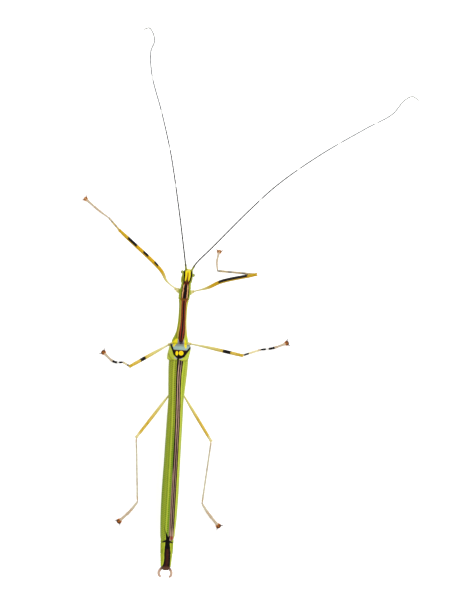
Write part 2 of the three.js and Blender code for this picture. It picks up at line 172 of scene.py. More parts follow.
def stroke(x: Array, y: Array, legs: Sequence[tuple[float, ...]]) -> Array:
    """Signed distance to a drawn line seen from above: to its nearest leg, less the half width there.

    Args:
        x, y: Places across the body and along it.
        legs: Each leg's start x, y and half width, then its end x, y and half width.

    Returns:
        The distance at each place, negative within the line.
    """
    least = np.full(np.broadcast_shapes(x.shape, y.shape), FAR)
    for start_x, start_y, start_half, end_x, end_y, end_half in legs:
        ahead = np.array([end_x - start_x, end_y - start_y])
        share = np.clip(((x - start_x) * ahead[0] + (y - start_y) * ahead[1]) / (ahead @ ahead), 0.0, 1.0)
        away = np.hypot(x - start_x - share * ahead[0], y - start_y - share * ahead[1])
        least = np.minimum(least, away - start_half - (end_half - start_half) * share)
    return least


def spaced(zones: Triples) -> Array:
    """Places evenly spaced in each zone (start, end, spacing); a zone starts where the last one ends."""
    parts = [np.linspace(a, b, max(2, round(abs(b - a) / step) + 1))[:-1] for a, b, step in zones]
    return np.concatenate([*parts, [zones[-1][1]]])


def unit(vectors: Array) -> Array:
    """The vectors at length 1."""
    return vectors / np.linalg.norm(vectors, axis=-1, keepdims=True)


class Profile:
    """A smooth function through control pairs, level past its ends.

    Between neighbours it is a cubic Hermite piece. Its slope at a pair is the harmonic mean of the slopes on
    the two sides, and zero where they differ in sign, so it never swings past a pair.
    """

    def __init__(self, pairs: Pairs) -> None:
        """Sorts the pairs and works out their slopes.

        Args:
            pairs: The places and the values there.
        """
        self.places, self.values = np.array(sorted(pairs), float).T
        steps = np.diff(self.values) / np.diff(self.places)
        product = steps[:-1] * steps[1:]
        total = np.where(product > 0, steps[:-1] + steps[1:], 1.0)
        self.slopes = np.pad(np.where(product > 0, 2.0 * product / total, 0.0), 1)

    def __call__(self, place: Array) -> Array:
        """The value at each place, by the Hermite basis of the piece that holds it.

        Args:
            place: The places to ask about.

        Returns:
            The values there.
        """
        place = np.clip(place, self.places[0], self.places[-1])
        piece = np.searchsorted(self.places, place, side="right") - 1
        piece = np.clip(piece, 0, len(self.places) - 2)
        width = self.places[piece + 1] - self.places[piece]
        t = (place - self.places[piece]) / width
        rise = t * t * (3.0 - 2.0 * t)
        leave = t * (1.0 - t) ** 2 * width * self.slopes[piece]
        arrive = t * t * (t - 1.0) * width * self.slopes[piece + 1]
        return self.values[piece] * (1.0 - rise) + self.values[piece + 1] * rise + leave + arrive


class Route:
    """A smooth way through points in space, measured by its length.

    It is a centripetal Catmull-Rom curve: a cubic between each two points, whose end slopes weigh the
    neighbouring chords by the square roots of their lengths.
    """

    SAMPLES = 40
    NEAR = 0.004

    def __init__(self, points: Sequence[Point | Array]) -> None:
        """Samples the curve densely.

        Args:
            points: The points that it passes through, two or more.
        """
        way = np.array(points, float)
        way = np.vstack([2 * way[0] - way[1], way, 2 * way[-1] - way[-2]])
        a, b, c, d = way[:-3], way[1:-2], way[2:-1], way[3:]
        span = [np.sqrt(np.linalg.norm(q - p, axis=1))[:, None] for p, q in ((a, b), (b, c), (c, d))]
        leave = ((b - a) / span[0] - (c - a) / (span[0] + span[1]) + (c - b) / span[1]) * span[1]
        arrive = ((c - b) / span[1] - (d - b) / (span[1] + span[2]) + (d - c) / span[2]) * span[1]
        t = np.linspace(0, 1, self.SAMPLES, endpoint=False)[None, :, None]
        cubic = (2 * b - 2 * c + leave + arrive)[:, None] * t**3
        square = (-3 * b + 3 * c - 2 * leave - arrive)[:, None] * t**2
        curve = (cubic + square + leave[:, None] * t + b[:, None]).reshape(-1, 3)
        self.points = np.vstack([curve, way[-2]])
        chords = np.linalg.norm(np.diff(self.points, axis=0), axis=1)
        self.arc = np.concatenate([[0.0], np.cumsum(chords)])
        self.length = float(self.arc[-1])

    def _within(self, arc: Array) -> Array:
        """The point at each length between the two ends."""
        return np.stack([np.interp(arc, self.arc, self.points[:, k]) for k in range(3)], -1)

    def at(self, arc: Array) -> Array:
        """The point at each length along the route; past an end it runs straight on."""
        inside = np.clip(arc, 0.0, self.length)
        return self._within(inside) + (arc - inside)[..., None] * self.heading(inside)

    def heading(self, arc: Array) -> Array:
        """The unit direction of travel at each length, from the chord between two near points.

        Args:
            arc: Lengths along the route.

        Returns:
            One unit vector for each.
        """
        near = self.length * self.NEAR
        before, after = (self._within(np.clip(arc + step, 0, self.length)) for step in (-near, near))
        return unit(after - before)

    def axes(self, arc: Array) -> tuple[Array, Array, Array]:
        """The heading, the level side direction to its right, and the up direction square to both.

        Args:
            arc: Lengths along the route.

        Returns:
            The three unit vectors for each.
        """
        ahead = self.heading(arc)
        side = unit(np.cross(ahead, UP))
        return ahead, side, np.cross(side, ahead)

    def axes_at(self, arc: float) -> list[Array]:
        """The three unit vectors at one length."""
        return [vectors[0] for vectors in self.axes(np.array([arc]))]


@dataclass
class Shell:
    """One or more closed surfaces, in body millimetres.

    Attributes:
        points: One row for each point.
        quads: The four corners of each four-sided face, by row.
        triangles: The three corners of each three-sided face.
        marks: Values for each point, by name.
    """

    points: Array
    quads: NDArray[np.int64]
    triangles: NDArray[np.int64]
    marks: dict[str, Array] = field(default_factory=dict)

    def outward(self) -> "Shell":
        """The same surface with its faces turned outward, told by the sign of the volume that they enclose.

        Returns:
            The surface itself.
        """
        split = np.vstack([self.triangles, self.quads[:, [0, 1, 2]], self.quads[:, [0, 2, 3]]])
        a, b, c = (self.points[split[:, k]] for k in range(3))
        if np.einsum("ij,ij->i", a, np.cross(b, c)).sum() < 0:
            self.quads, self.triangles = self.quads[:, ::-1], self.triangles[:, ::-1]
        return self

    def placed(self, along: float | Array) -> "Shell":
        """The same surface with its mark "along" set, for all points or for each."""
        self.marks["along"] = np.full(len(self.points), along, float)
        return self

    def on_floor(self) -> "Shell":
        """The same surface with every point under the floor raised to it."""
        self.points[:, 2] = np.maximum(self.points[:, 2], 0.0)
        return self

    @staticmethod
    def joined(shells: Sequence["Shell"]) -> "Shell":
        """All the surfaces in one, with a mark that one of them lacks set to zero there.

        Args:
            shells: The surfaces.

        Returns:
            The joined surface.
        """
        starts = np.cumsum([0] + [len(s.points) for s in shells[:-1]])
        names = sorted({name for s in shells for name in s.marks})
        blank = [np.zeros(len(s.points)) for s in shells]
        return Shell(
            np.vstack([s.points for s in shells]),
            np.vstack([s.quads + start for s, start in zip(shells, starts)]),
            np.vstack([s.triangles + start for s, start in zip(shells, starts)]),
            {n: np.concatenate([s.marks.get(n, zero) for s, zero in zip(shells, blank)]) for n in names},
        )


def loft(points: Array, marks: dict[str, Array], ending: Ending = Ending.POINT) -> Shell:
    """A closed surface from a grid of points whose columns run round it.

    Face (r, c) joins points (r, c), (r, c+1), (r+1, c+1) and (r+1, c), with the last column next to the
    first. Each end row is closed by a fan round its mean point, or by a strip from column c to column
    n-1-c where the row is a thin crescent.

    Args:
        points: Grid of points, rows by columns by 3.
        marks: Values on the same grid, by name; one that varies in one direction only is spread out.
        ending: How the two end rows are closed.

    Returns:
        The surface, with its faces turned outward.
    """
    rows, columns = points.shape[:2]
    index = np.arange(rows * columns).reshape(rows, columns)
    after = np.roll(index, -1, axis=1)
    quads = np.stack([index[:-1], after[:-1], after[1:], index[1:]], -1).reshape(-1, 4)
    flat = points.reshape(-1, 3)
    grids = {name: np.broadcast_to(grid, (rows, columns)) for name, grid in marks.items()}
    if ending is Ending.ZIP:
        near = np.arange(columns // 2 - 1)
        far = columns - 1 - near
        strip = np.stack([near, far, far - 1, near + 1], -1)
        quads = np.vstack([quads, strip, strip[:, ::-1] + (rows - 1) * columns])
        values = {name: grid.reshape(-1) for name, grid in grids.items()}
        return Shell(flat, quads, np.zeros((0, 3), int), values).outward()
    pole = np.full(columns, rows * columns)
    fans = [np.stack([after[0], index[0], pole], -1), np.stack([index[-1], after[-1], pole + 1], -1)]
    flat = np.vstack([flat, points[0].mean(0), points[-1].mean(0)])
    values = {name: np.append(grid, [grid[0].mean(), grid[-1].mean()]) for name, grid in grids.items()}
    return Shell(flat, quads, np.vstack(fans), values).outward()


def turn(columns: int) -> Array:
    """Angles once round a section, without the last one, as one row."""
    return np.linspace(0, 2 * math.pi, columns, endpoint=False)[None, :]


def sweep(
    route: Route, arc: Array, girth: Array, columns: int, marks: dict[str, Array],
    flat: tuple[float, float] = (1.0, 1.0), keels: tuple[int, float] = (4, 0.0),
) -> Shell:
    """A limb: a rounded section carried along a route.

    The point at length s and angle a is route(s) + k girth(s) (wide cos a side + high sin a up), where
    k = 1 + keel cos(n a) raises n keels along the limb.

    Args:
        route: The way that the middle of the section takes.
        arc: The lengths of the rows along it.
        girth: The section's radius at each row.
        columns: Points round the section.
        marks: Values for each row, or for the whole grid.
        flat: The section's width and height, as shares of the girth.
        keels: How many keels there are, and their height as a share of the girth.

    Returns:
        The closed limb, with the marks and one more: round_side, the cosine of a.
    """
    angle = turn(columns)
    _, side, up = route.axes(arc)
    factor = 1.0 + keels[1] * np.cos(keels[0] * angle)
    across = ((flat[0] * girth)[:, None] * factor * np.cos(angle))[..., None] * side[:, None, :]
    above = ((flat[1] * girth)[:, None] * factor * np.sin(angle))[..., None] * up[:, None, :]
    given = {name: np.reshape(mark, (len(arc), -1)) for name, mark in marks.items()}
    return loft(route.at(arc)[:, None, :] + across + above, given | {"round_side": np.cos(angle)})


def rounded(share: Array, girth: Array) -> Array:
    """A limb's girth with its ends rounded off: girth (1 - (2 share - 1)^10)^0.5, and never quite nothing."""
    return girth * np.sqrt(np.clip(1.0 - (2.0 * share - 1.0) ** 10, 0.0, 1.0)) + LEAST_GIRTH


def ball(centre: Array, half: Point | Array, axes: Array, rows: int, columns: int) -> Shell:
    """An ellipsoid: centre + axes (half_x sin p cos a, half_y sin p sin a, half_z cos p).

    Args:
        centre: Its middle.
        half: Its half sizes along its own three axes.
        axes: The three axes as the columns of a matrix.
        rows: Rows from pole to pole.
        columns: Points round each row.

    Returns:
        The closed ellipsoid, with the mark polar: p as a share, from 0 at its +Z pole to 1.
    """
    polar = (np.arange(rows) + 0.5)[:, None] / rows * math.pi
    angle = turn(columns)
    own = [np.sin(polar) * np.cos(angle), np.sin(polar) * np.sin(angle), np.cos(polar) + 0 * angle]
    return loft((np.stack(own, -1) * half) @ axes.T + centre, {"polar": polar / math.pi})


def frame_towards(ahead: Array) -> Array:
    """Three square axes as matrix columns: side, up and the given direction."""
    side = unit(np.cross(unit(ahead), UP))
    return np.stack([side, np.cross(side, unit(ahead)), unit(ahead)], axis=1)


def hairs_on(shell: Shell, count: int, length: float, lean: Array) -> Shell:
    """Short stiff hairs on a surface, each a slender three-sided spike.

    A spike stands on a point of the surface and points along the outward normal plus the lean, with base
    corners at thirds of a turn. Points and lengths are drawn from a seeded generator. None stands at the
    floor. Each hair has the marks of the surface's nearest point, so that it shares its colour.

    Args:
        shell: The surface that carries them.
        count: How many there are.
        length: The longest spike.
        lean: How far they lean over, as a vector added to the unit normal.

    Returns:
        The hairs as one surface.
    """
    generator = np.random.default_rng(SEED)
    corners = shell.points[shell.quads]
    middle = corners.mean(1)
    normal = np.cross(corners[:, 2] - corners[:, 0], corners[:, 3] - corners[:, 1])
    size = np.linalg.norm(normal, axis=1)
    chosen = generator.choice(np.flatnonzero((size > 1e-9) & (middle[:, 2] > HAIRS_ABOVE)), count)
    base = middle[chosen]
    ahead = unit(normal[chosen] / size[chosen, None] + lean)
    side = unit(np.cross(ahead, UP + 0.01))
    above = np.cross(side, ahead)
    reach = length * generator.uniform(0.5, 1.0, count)[:, None]
    thirds = [(math.cos(a), math.sin(a)) for a in (0, 2 * math.pi / 3, 4 * math.pi / 3)]
    feet = [base - HAIR_ROOT * ahead + HAIR_RADIUS * (c * side + s * above) for c, s in thirds]
    points = np.stack([*feet, base + reach * ahead], axis=1).reshape(-1, 3)
    start = 4 * np.arange(count)[:, None]
    sides = [start + np.array(corner) for corner in ([0, 1, 3], [1, 2, 3], [2, 0, 3], [0, 2, 1])]
    nearest = ((points[::4, None] - shell.points) ** 2).sum(-1).argmin(1)
    marks = {name: np.repeat(values[nearest], 4) for name, values in shell.marks.items()}
    return Shell(points, np.zeros((0, 4), int), np.vstack(sides), marks).outward()


def add_piece(name: str, shell: Shell, finish: "Cuticle", replaces: Sequence[str]) -> None:
    """Makes a piece of the insect from a surface, dresses it and ties it to the frame.

    Args:
        name: The piece's name.
        shell: Its surface, in body millimetres.
        finish: Its finish.
        replaces: The frame's nodes that it stands for.
    """
    mesh = bpy.data.meshes.new(name)
    loops = np.concatenate([shell.quads.ravel(), shell.triangles.ravel()]).astype(np.int32)
    totals = np.repeat([4, 3], [len(shell.quads), len(shell.triangles)])
    starts = np.concatenate([[0], np.cumsum(totals)[:-1]]).astype(np.int32)
    mesh.vertices.add(len(shell.points))
    mesh.vertices.foreach_set("co", ((shell.points + BODY_ORIGIN) * METRES).astype(np.float32).ravel())
    mesh.loops.add(len(loops))
    mesh.loops.foreach_set("vertex_index", loops)
    mesh.polygons.add(len(totals))
    mesh.polygons.foreach_set("loop_start", starts)
    mesh.polygons.foreach_set("use_smooth", np.ones(len(totals), bool))
    for mark, values in shell.marks.items():
        mesh.attributes.new(mark, "FLOAT", "POINT").data.foreach_set("value", values.astype(np.float32))
    mesh.update(calc_edges=True)
    mesh.materials.append(finish.material())
    piece = bpy.data.objects.new(name, mesh)
    bpy.context.scene.collection.objects.link(piece)
    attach(piece, "root")
    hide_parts(*replaces)
    log.info("%s: %d points, %d faces", name, len(shell.points), len(totals))


# ------------------------------------------------------------------ shader maths


class Value:
    """A number that varies over a surface, with arithmetic that adds Math nodes."""

    def __init__(self, graph: "Graph", socket: bpy.types.NodeSocket) -> None:
        """Wraps an output socket of a graph's node."""
        self.graph, self.socket = graph, socket

    def _math(self, operation: str, first: "Value | float", second: "Value | float" = 0.0) -> "Value":
        """A Math node on two numbers, as a value."""
        node = self.graph.node("Math", {"operation": operation}, {0: first, 1: second})
        return Value(self.graph, node.outputs[0])

    def __add__(self, other: "Value | float") -> "Value":
        """The sum."""
        return self._math("ADD", self, other)

    def __sub__(self, other: "Value | float") -> "Value":
        """The difference."""
        return self._math("SUBTRACT", self, other)

    def __rsub__(self, other: float) -> "Value":
        """The difference, with the number first."""
        return self._math("SUBTRACT", other, self)

    def __mul__(self, other: "Value | float") -> "Value":
        """The product."""
        return self._math("MULTIPLY", self, other)

    def __abs__(self) -> "Value":
        """The size without the sign."""
        return self._math("ABSOLUTE", self)

    __radd__ = __add__
    __rmul__ = __mul__


class Graph:
    """The node tree of one material."""

    def __init__(self, name: str) -> None:
        """Starts a material with an empty tree.

        Args:
            name: The material's name.
        """
        self.material = bpy.data.materials.new(name)
        self.material.use_nodes = True
        self.tree = self.material.node_tree
        self.tree.nodes.clear()
        self._marks: dict[str, Value] = {}

    def node(self, kind: str, settings: dict[str, object], inputs: dict[int | str, object]) -> bpy.types.Node:
        """Adds a node.

        Args:
            kind: The node's type, after "ShaderNode".
            settings: Its settings, which are set first.
            inputs: Numbers, colours, values or sockets, by socket name or place.

        Returns:
            The new node.
        """
        node = self.tree.nodes.new("ShaderNode" + kind)
        for name, setting in settings.items():
            setattr(node, name, setting)
        for key, given in inputs.items():
            given = given.socket if isinstance(given, Value) else given
            if isinstance(given, bpy.types.NodeSocket):
                self.tree.links.new(given, node.inputs[key])
            else:
                node.inputs[key].default_value = given
        return node

    def mark(self, name: str) -> Value:
        """A per-point mark of the mesh; each is read once.

        Args:
            name: The mark's name.

        Returns:
            Its value.
        """
        if name not in self._marks:
            node = self.node("Attribute", {"attribute_name": name}, {})
            self._marks[name] = Value(self, node.outputs["Fac"])
        return self._marks[name]

    def place(self) -> bpy.types.NodeSocket:
        """The point of the surface in metres, in the object's own coordinates."""
        return self.node("TexCoord", {}, {}).outputs["Object"]

    def noise(self, grain: float, detail: float = 2.0, stretch: Point = (1.0, 1.0, 1.0)) -> Value:
        """Soft noise from 0 to 1 in blotches.

        Args:
            grain: Size of a blotch, mm.
            detail: How many finer layers are added.
            stretch: How far the blotches are drawn out along the three axes.

        Returns:
            The noise.
        """
        scale = tuple(1.0 / (grain * METRES * s) for s in stretch)
        mapped = self.node("Mapping", {"vector_type": "POINT"}, {"Vector": self.place(), "Scale": scale})
        inputs = {"Vector": mapped.outputs[0], "Scale": 1.0, "Detail": detail}
        return Value(self, self.node("TexNoise", {}, inputs).outputs[0])

    def cells(self, grain: float) -> Value:
        """Distance from the middle of each rounded cell, for cells about a grain across, in mm."""
        inputs = {"Vector": self.place(), "Scale": 1.0 / (grain * METRES), "Randomness": 0.35}
        return Value(self, self.node("TexVoronoi", {}, inputs).outputs["Distance"])

    def ramp(self, value: Value, low: float, high: float) -> Value:
        """0 at low to 1 at high, by the smoothstep curve; low may be above high.

        Args:
            value: The number that goes up the ramp.
            low, high: The ramp's ends.

        Returns:
            Its height there.
        """
        upward = float(low < high)
        inputs = {0: value, 1: min(low, high), 2: max(low, high), 3: 1.0 - upward, 4: upward}
        node = self.node("MapRange", {"interpolation_type": "SMOOTHSTEP"}, inputs)
        return Value(self, node.outputs[0])

    def window(self, value: Value, low: float, high: float, soft: float) -> Value:
        """1 between low and high, 0 outside, with a fade of the given width at each end."""
        half = soft / 2
        return self.ramp(value, low - half, low + half) * self.ramp(value, high + half, high - half)

    def mix(self, under: object, over: object, share: Value | float) -> bpy.types.NodeSocket:
        """One colour laid over another by a share."""
        return self.node("Mix", {"data_type": "RGBA"}, {0: share, 6: under, 7: over}).outputs[2]

    def finish(self, settings: dict[str, object]) -> bpy.types.Material:
        """Ends the tree in a Principled shader with the given sockets.

        Args:
            settings: The shader's sockets, by name.

        Returns:
            The material.
        """
        shader = self.node("BsdfPrincipled", {}, settings)
        self.node("OutputMaterial", {}, {"Surface": shader.outputs[0]})
        return self.material


@dataclass(frozen=True)
class Paint:
    """Paint that shows where a mark of the mesh lies between two values.

    Attributes:
        tint: Its colour.
        mark: The mark that bounds it, between bars where the mark's sign is ignored.
        low: The mark's lowest value inside it.
        high: The mark's highest value inside it.
        soft: Width of the fade at its edges, in the mark's unit.
        ragged: How far noise moves its edges, in the mark's unit.
        span: Its rear and fore ends on the mark "along" and, if need be, their fade; () for everywhere.
        upper: The lowest value of the mark "height" that it covers, or None for all heights.
        share: How much of what lies under it is covered.
    """

    tint: Tint
    mark: str
    low: float
    high: float
    soft: float = 0.1
    ragged: float = 0.0
    span: tuple[float, ...] = ()
    upper: float | None = None
    share: float = 1.0

    def mask(self, graph: Graph, wobble: Value) -> Value:
        """Where the paint shows, from 0 to 1.

        Args:
            graph: The material's graph.
            wobble: Noise from 0 to 1 that frays its edges.

        Returns:
            The mask.
        """
        value = graph.mark(self.mark.strip("|"))
        if self.mark.startswith("|"):
            value = abs(value)
        if self.ragged:
            value = value + (wobble - 0.5) * (2.0 * self.ragged)
        mask = graph.window(value, self.low, self.high, self.soft)
        if self.span:
            rear, fore, fade = (*self.span, USUAL_FADE)[:3]
            mask = mask * graph.window(graph.mark("along"), rear, fore, fade)
        if self.upper is not None:
            mask = mask * graph.ramp(graph.mark("height"), self.upper - SIDE_FADE, self.upper + SIDE_FADE)
        return mask * self.share if self.share < 1.0 else mask


@dataclass(frozen=True)
class Cuticle:
    """The insect's shell: a mottled ground, paints over it, and a fine relief.

    Attributes:
        name: The material's name.
        slot: The record's material slot; not used.
        ground: Its main colour.
        mottle: A second colour in soft blotches.
        paints: Paints from the lowest layer to the highest.
        blotch: Size of the blotches, mm.
        drawn: How far blotches and fraying are drawn out along the body.
        roughness: Mean roughness.
        coat: Weight of the clear wax over it.
        gloss: Strength of its own reflection.
        grain: Size of the relief's grains, mm.
        relief: Height of the relief, mm.
        facets: Width of the round facets that replace the relief, mm, or 0 for none.
    """

    name: str
    slot: str
    ground: Tint
    mottle: Tint
    paints: tuple[Paint, ...] = ()
    blotch: float = 0.9
    drawn: float = 2.0
    roughness: float = 0.4
    coat: float = 0.0
    gloss: float = 0.07
    grain: float = 0.07
    relief: float = 0.012
    facets: float = 0.0

    def material(self) -> bpy.types.Material:
        """The finish as a material, made once and shared."""
        return bpy.data.materials.get(self.name) or self._build()

    def _build(self) -> bpy.types.Material:
        """Builds the node tree.

        The ground shades into the mottle where the blotches' noise goes from 0.38 to 0.66. Each paint goes
        over it, and all is darkened by 4 to 20 % with the grains. The roughness swings by 0.08 about its
        mean. The height is 0.7 grains + 0.6 blotches, or 1 - 2 d^2 at a distance d from a facet's middle.

        Returns:
            The new material.
        """
        graph = Graph(self.name)
        stretch = (1.0, self.drawn, 1.0)
        blotches = graph.noise(self.blotch, 3.0, stretch)
        wobble = graph.noise(FRAY, 2.0, stretch)
        grains = graph.noise(self.grain)
        colour = graph.mix(self.ground.linear, self.mottle.linear, graph.ramp(blotches, 0.38, 0.66))
        for paint in self.paints:
            colour = graph.mix(colour, paint.tint.linear, paint.mask(graph, wobble))
        shade = graph.ramp(grains, 0.25, 0.75) * 0.16 + 0.8
        tone = graph.node("CombineXYZ", {}, {0: shade, 1: shade, 2: shade})
        toned = graph.node("VectorMath", {"operation": "MULTIPLY"}, {0: colour, 1: tone.outputs[0]})
        height = grains * 0.7 + blotches * 0.6
        if self.facets:
            reach = graph.cells(self.facets)
            height = 1.0 - reach * reach * 2.0
        relief = {"Strength": 0.6, "Distance": self.relief * METRES, "Height": height}
        settings = {
            "Base Color": toned.outputs[0],
            "Roughness": grains * 0.16 + (self.roughness - 0.08),
            "Coat Weight": self.coat,
            "Coat Roughness": 0.25,
            "Specular IOR Level": self.gloss,
            "Normal": graph.node("Bump", {}, relief).outputs[0],
        }
        return graph.finish(settings)


# ------------------------------------------------------------------ head, thorax and abdomen

SPINE_X = Profile([
    (-46, 0.45), (-38, 0.35), (-20, 0.24), (-5, 0.18), (0, 0.17), (1.9, 0.33), (3, 0.41), (8, 0.42),
    (9.6, 0.45), (12.2, 0.68), (13.0, 0.7), (14.1, 0.79), (15.6, 0.98),
])
SPINE_Z = Profile([
    (-46, 3.7), (-38, 4.15), (-20, 4.95), (-5, 5.55), (2, 5.9), (9, 6.15), (12.6, 6.27), (14, 6.3),
    (15.6, 6.2),
])
HALF_WIDTH = Profile([
    (-46, 0.5), (-45.75, 0.8), (-45.3, 1.0), (-44.6, 1.08), (-43.6, 1.14), (-42, 1.27), (-40, 1.31),
    (-38, 1.05), (-30, 1.03), (-12, 1.03), (-4, 1.15), (-1.2, 1.29), (-0.3, 1.39), (0.4, 1.61),
    (0.9, 1.61), (1.85, 1.32), (2.9, 1.06), (5, 0.86), (7, 0.83), (8.4, 0.88), (9.3, 1.08), (10.6, 1.15),
    (11.6, 1.05), (12.2, 1.0), (12.56, 1.0), (12.9, 1.12), (13.5, 1.16), (14.2, 1.13), (14.8, 1.0),
    (15.15, 0.86), (15.4, 0.62), (15.51, 0.4), (15.54, 0.15),
])
HALF_RISE = Profile([
    (-46, 0.35), (-45.7, 0.55), (-45, 0.75), (-42, 0.92), (-39.8, 0.92), (-38, 0.77), (-30, 0.75),
    (-12, 0.77), (-4, 0.87), (0.6, 1.09), (2, 1.02), (5, 0.82), (8.4, 0.82), (9.3, 0.89), (11.6, 0.86),
    (12.2, 0.8), (12.56, 0.7), (12.9, 0.84), (13.6, 0.92), (14.3, 0.92), (14.9, 0.78), (15.25, 0.58),
    (15.46, 0.34), (15.54, 0.12),
])
HALF_DEPTH = Profile([
    (-46, 0.35), (-45.7, 0.6), (-45, 0.82), (-42, 1.12), (-39.8, 1.07), (-38, 0.95), (-30, 0.93),
    (-12, 0.97), (-8, 1.09), (-4, 1.12), (0.6, 1.22), (2, 1.09), (5, 0.85), (8.4, 0.87), (9.3, 0.97),
    (11.6, 0.99), (12.2, 0.88), (12.56, 0.74), (12.9, 0.82), (13.6, 0.9), (14.3, 0.9), (14.9, 0.8),
    (15.25, 0.6), (15.46, 0.34), (15.54, 0.12),
])
BAND_MIDDLE = Profile([
    (15.2, 0.9), (14.2, 0.95), (13.4, 0.87), (12.6, 0.74), (11.9, 0.66), (11.1, 0.64), (10.3, 0.6),
    (9.4, 0.56), (8.4, 0.5), (7, 0.53), (5.4, 0.58), (3.8, 0.58), (2.2, 0.5), (1.2, 0.45), (0.1, 0.49),
    (-38, 0.5), (-40.4, 0.51), (-41.6, 0.57), (-42.7, 0.64), (-43.7, 0.67), (-44.6, 0.63), (-45.4, 0.5),
])
BAND_HALF = Profile([
    (15.2, 0.69), (14.2, 0.69), (13.4, 0.62), (12.6, 0.5), (11.9, 0.62), (11.1, 0.67), (10.3, 0.7),
    (9.4, 0.66), (9.0, 0.46), (8.4, 0.4), (5, 0.39), (3.8, 0.44), (2.2, 0.52), (1.5, 0.5), (1.0, 0.36),
    (0.6, 0.2), (0.1, 0.05), (-38, 0.4), (-40.4, 0.43), (-41.6, 0.52), (-42.7, 0.57), (-43.7, 0.57),
    (-44.6, 0.6), (-45.4, 0.7),
])
BROW_HALF = Profile([
    (15.0, 0.01), (14.4, 0.05), (13.8, 0.1), (13.4, 0.17), (13.05, 0.34), (12.75, 0.52), (12.5, 0.56),
])
PATCHES = (
    (-1.3, 0.3, 0.16, -0.42, 1.12, 0.22),
    (-0.95, -0.2, 0.18, -0.5, 0.7, 0.26),
    (1.22, 1.0, 0.14, 1.42, 0.2, 0.27),
    (1.42, 0.2, 0.27, 1.52, -0.4, 0.16),
)
STAR = (
    (0.46, -39.6, 0.34, 0.02, -38.15, 0.06),
    (0.02, -38.15, 0.07, -0.5, -36.8, 0.02),
    (0.48, -39.9, 0.34, 0.85, -38.9, 0.1),
    (0.4, -39.9, 0.3, -0.72, -40.3, 0.06),
    (0.56, -39.9, 0.3, 1.65, -40.35, 0.06),
    (0.48, -39.9, 0.4, 0.52, -41.4, 0.38),
)
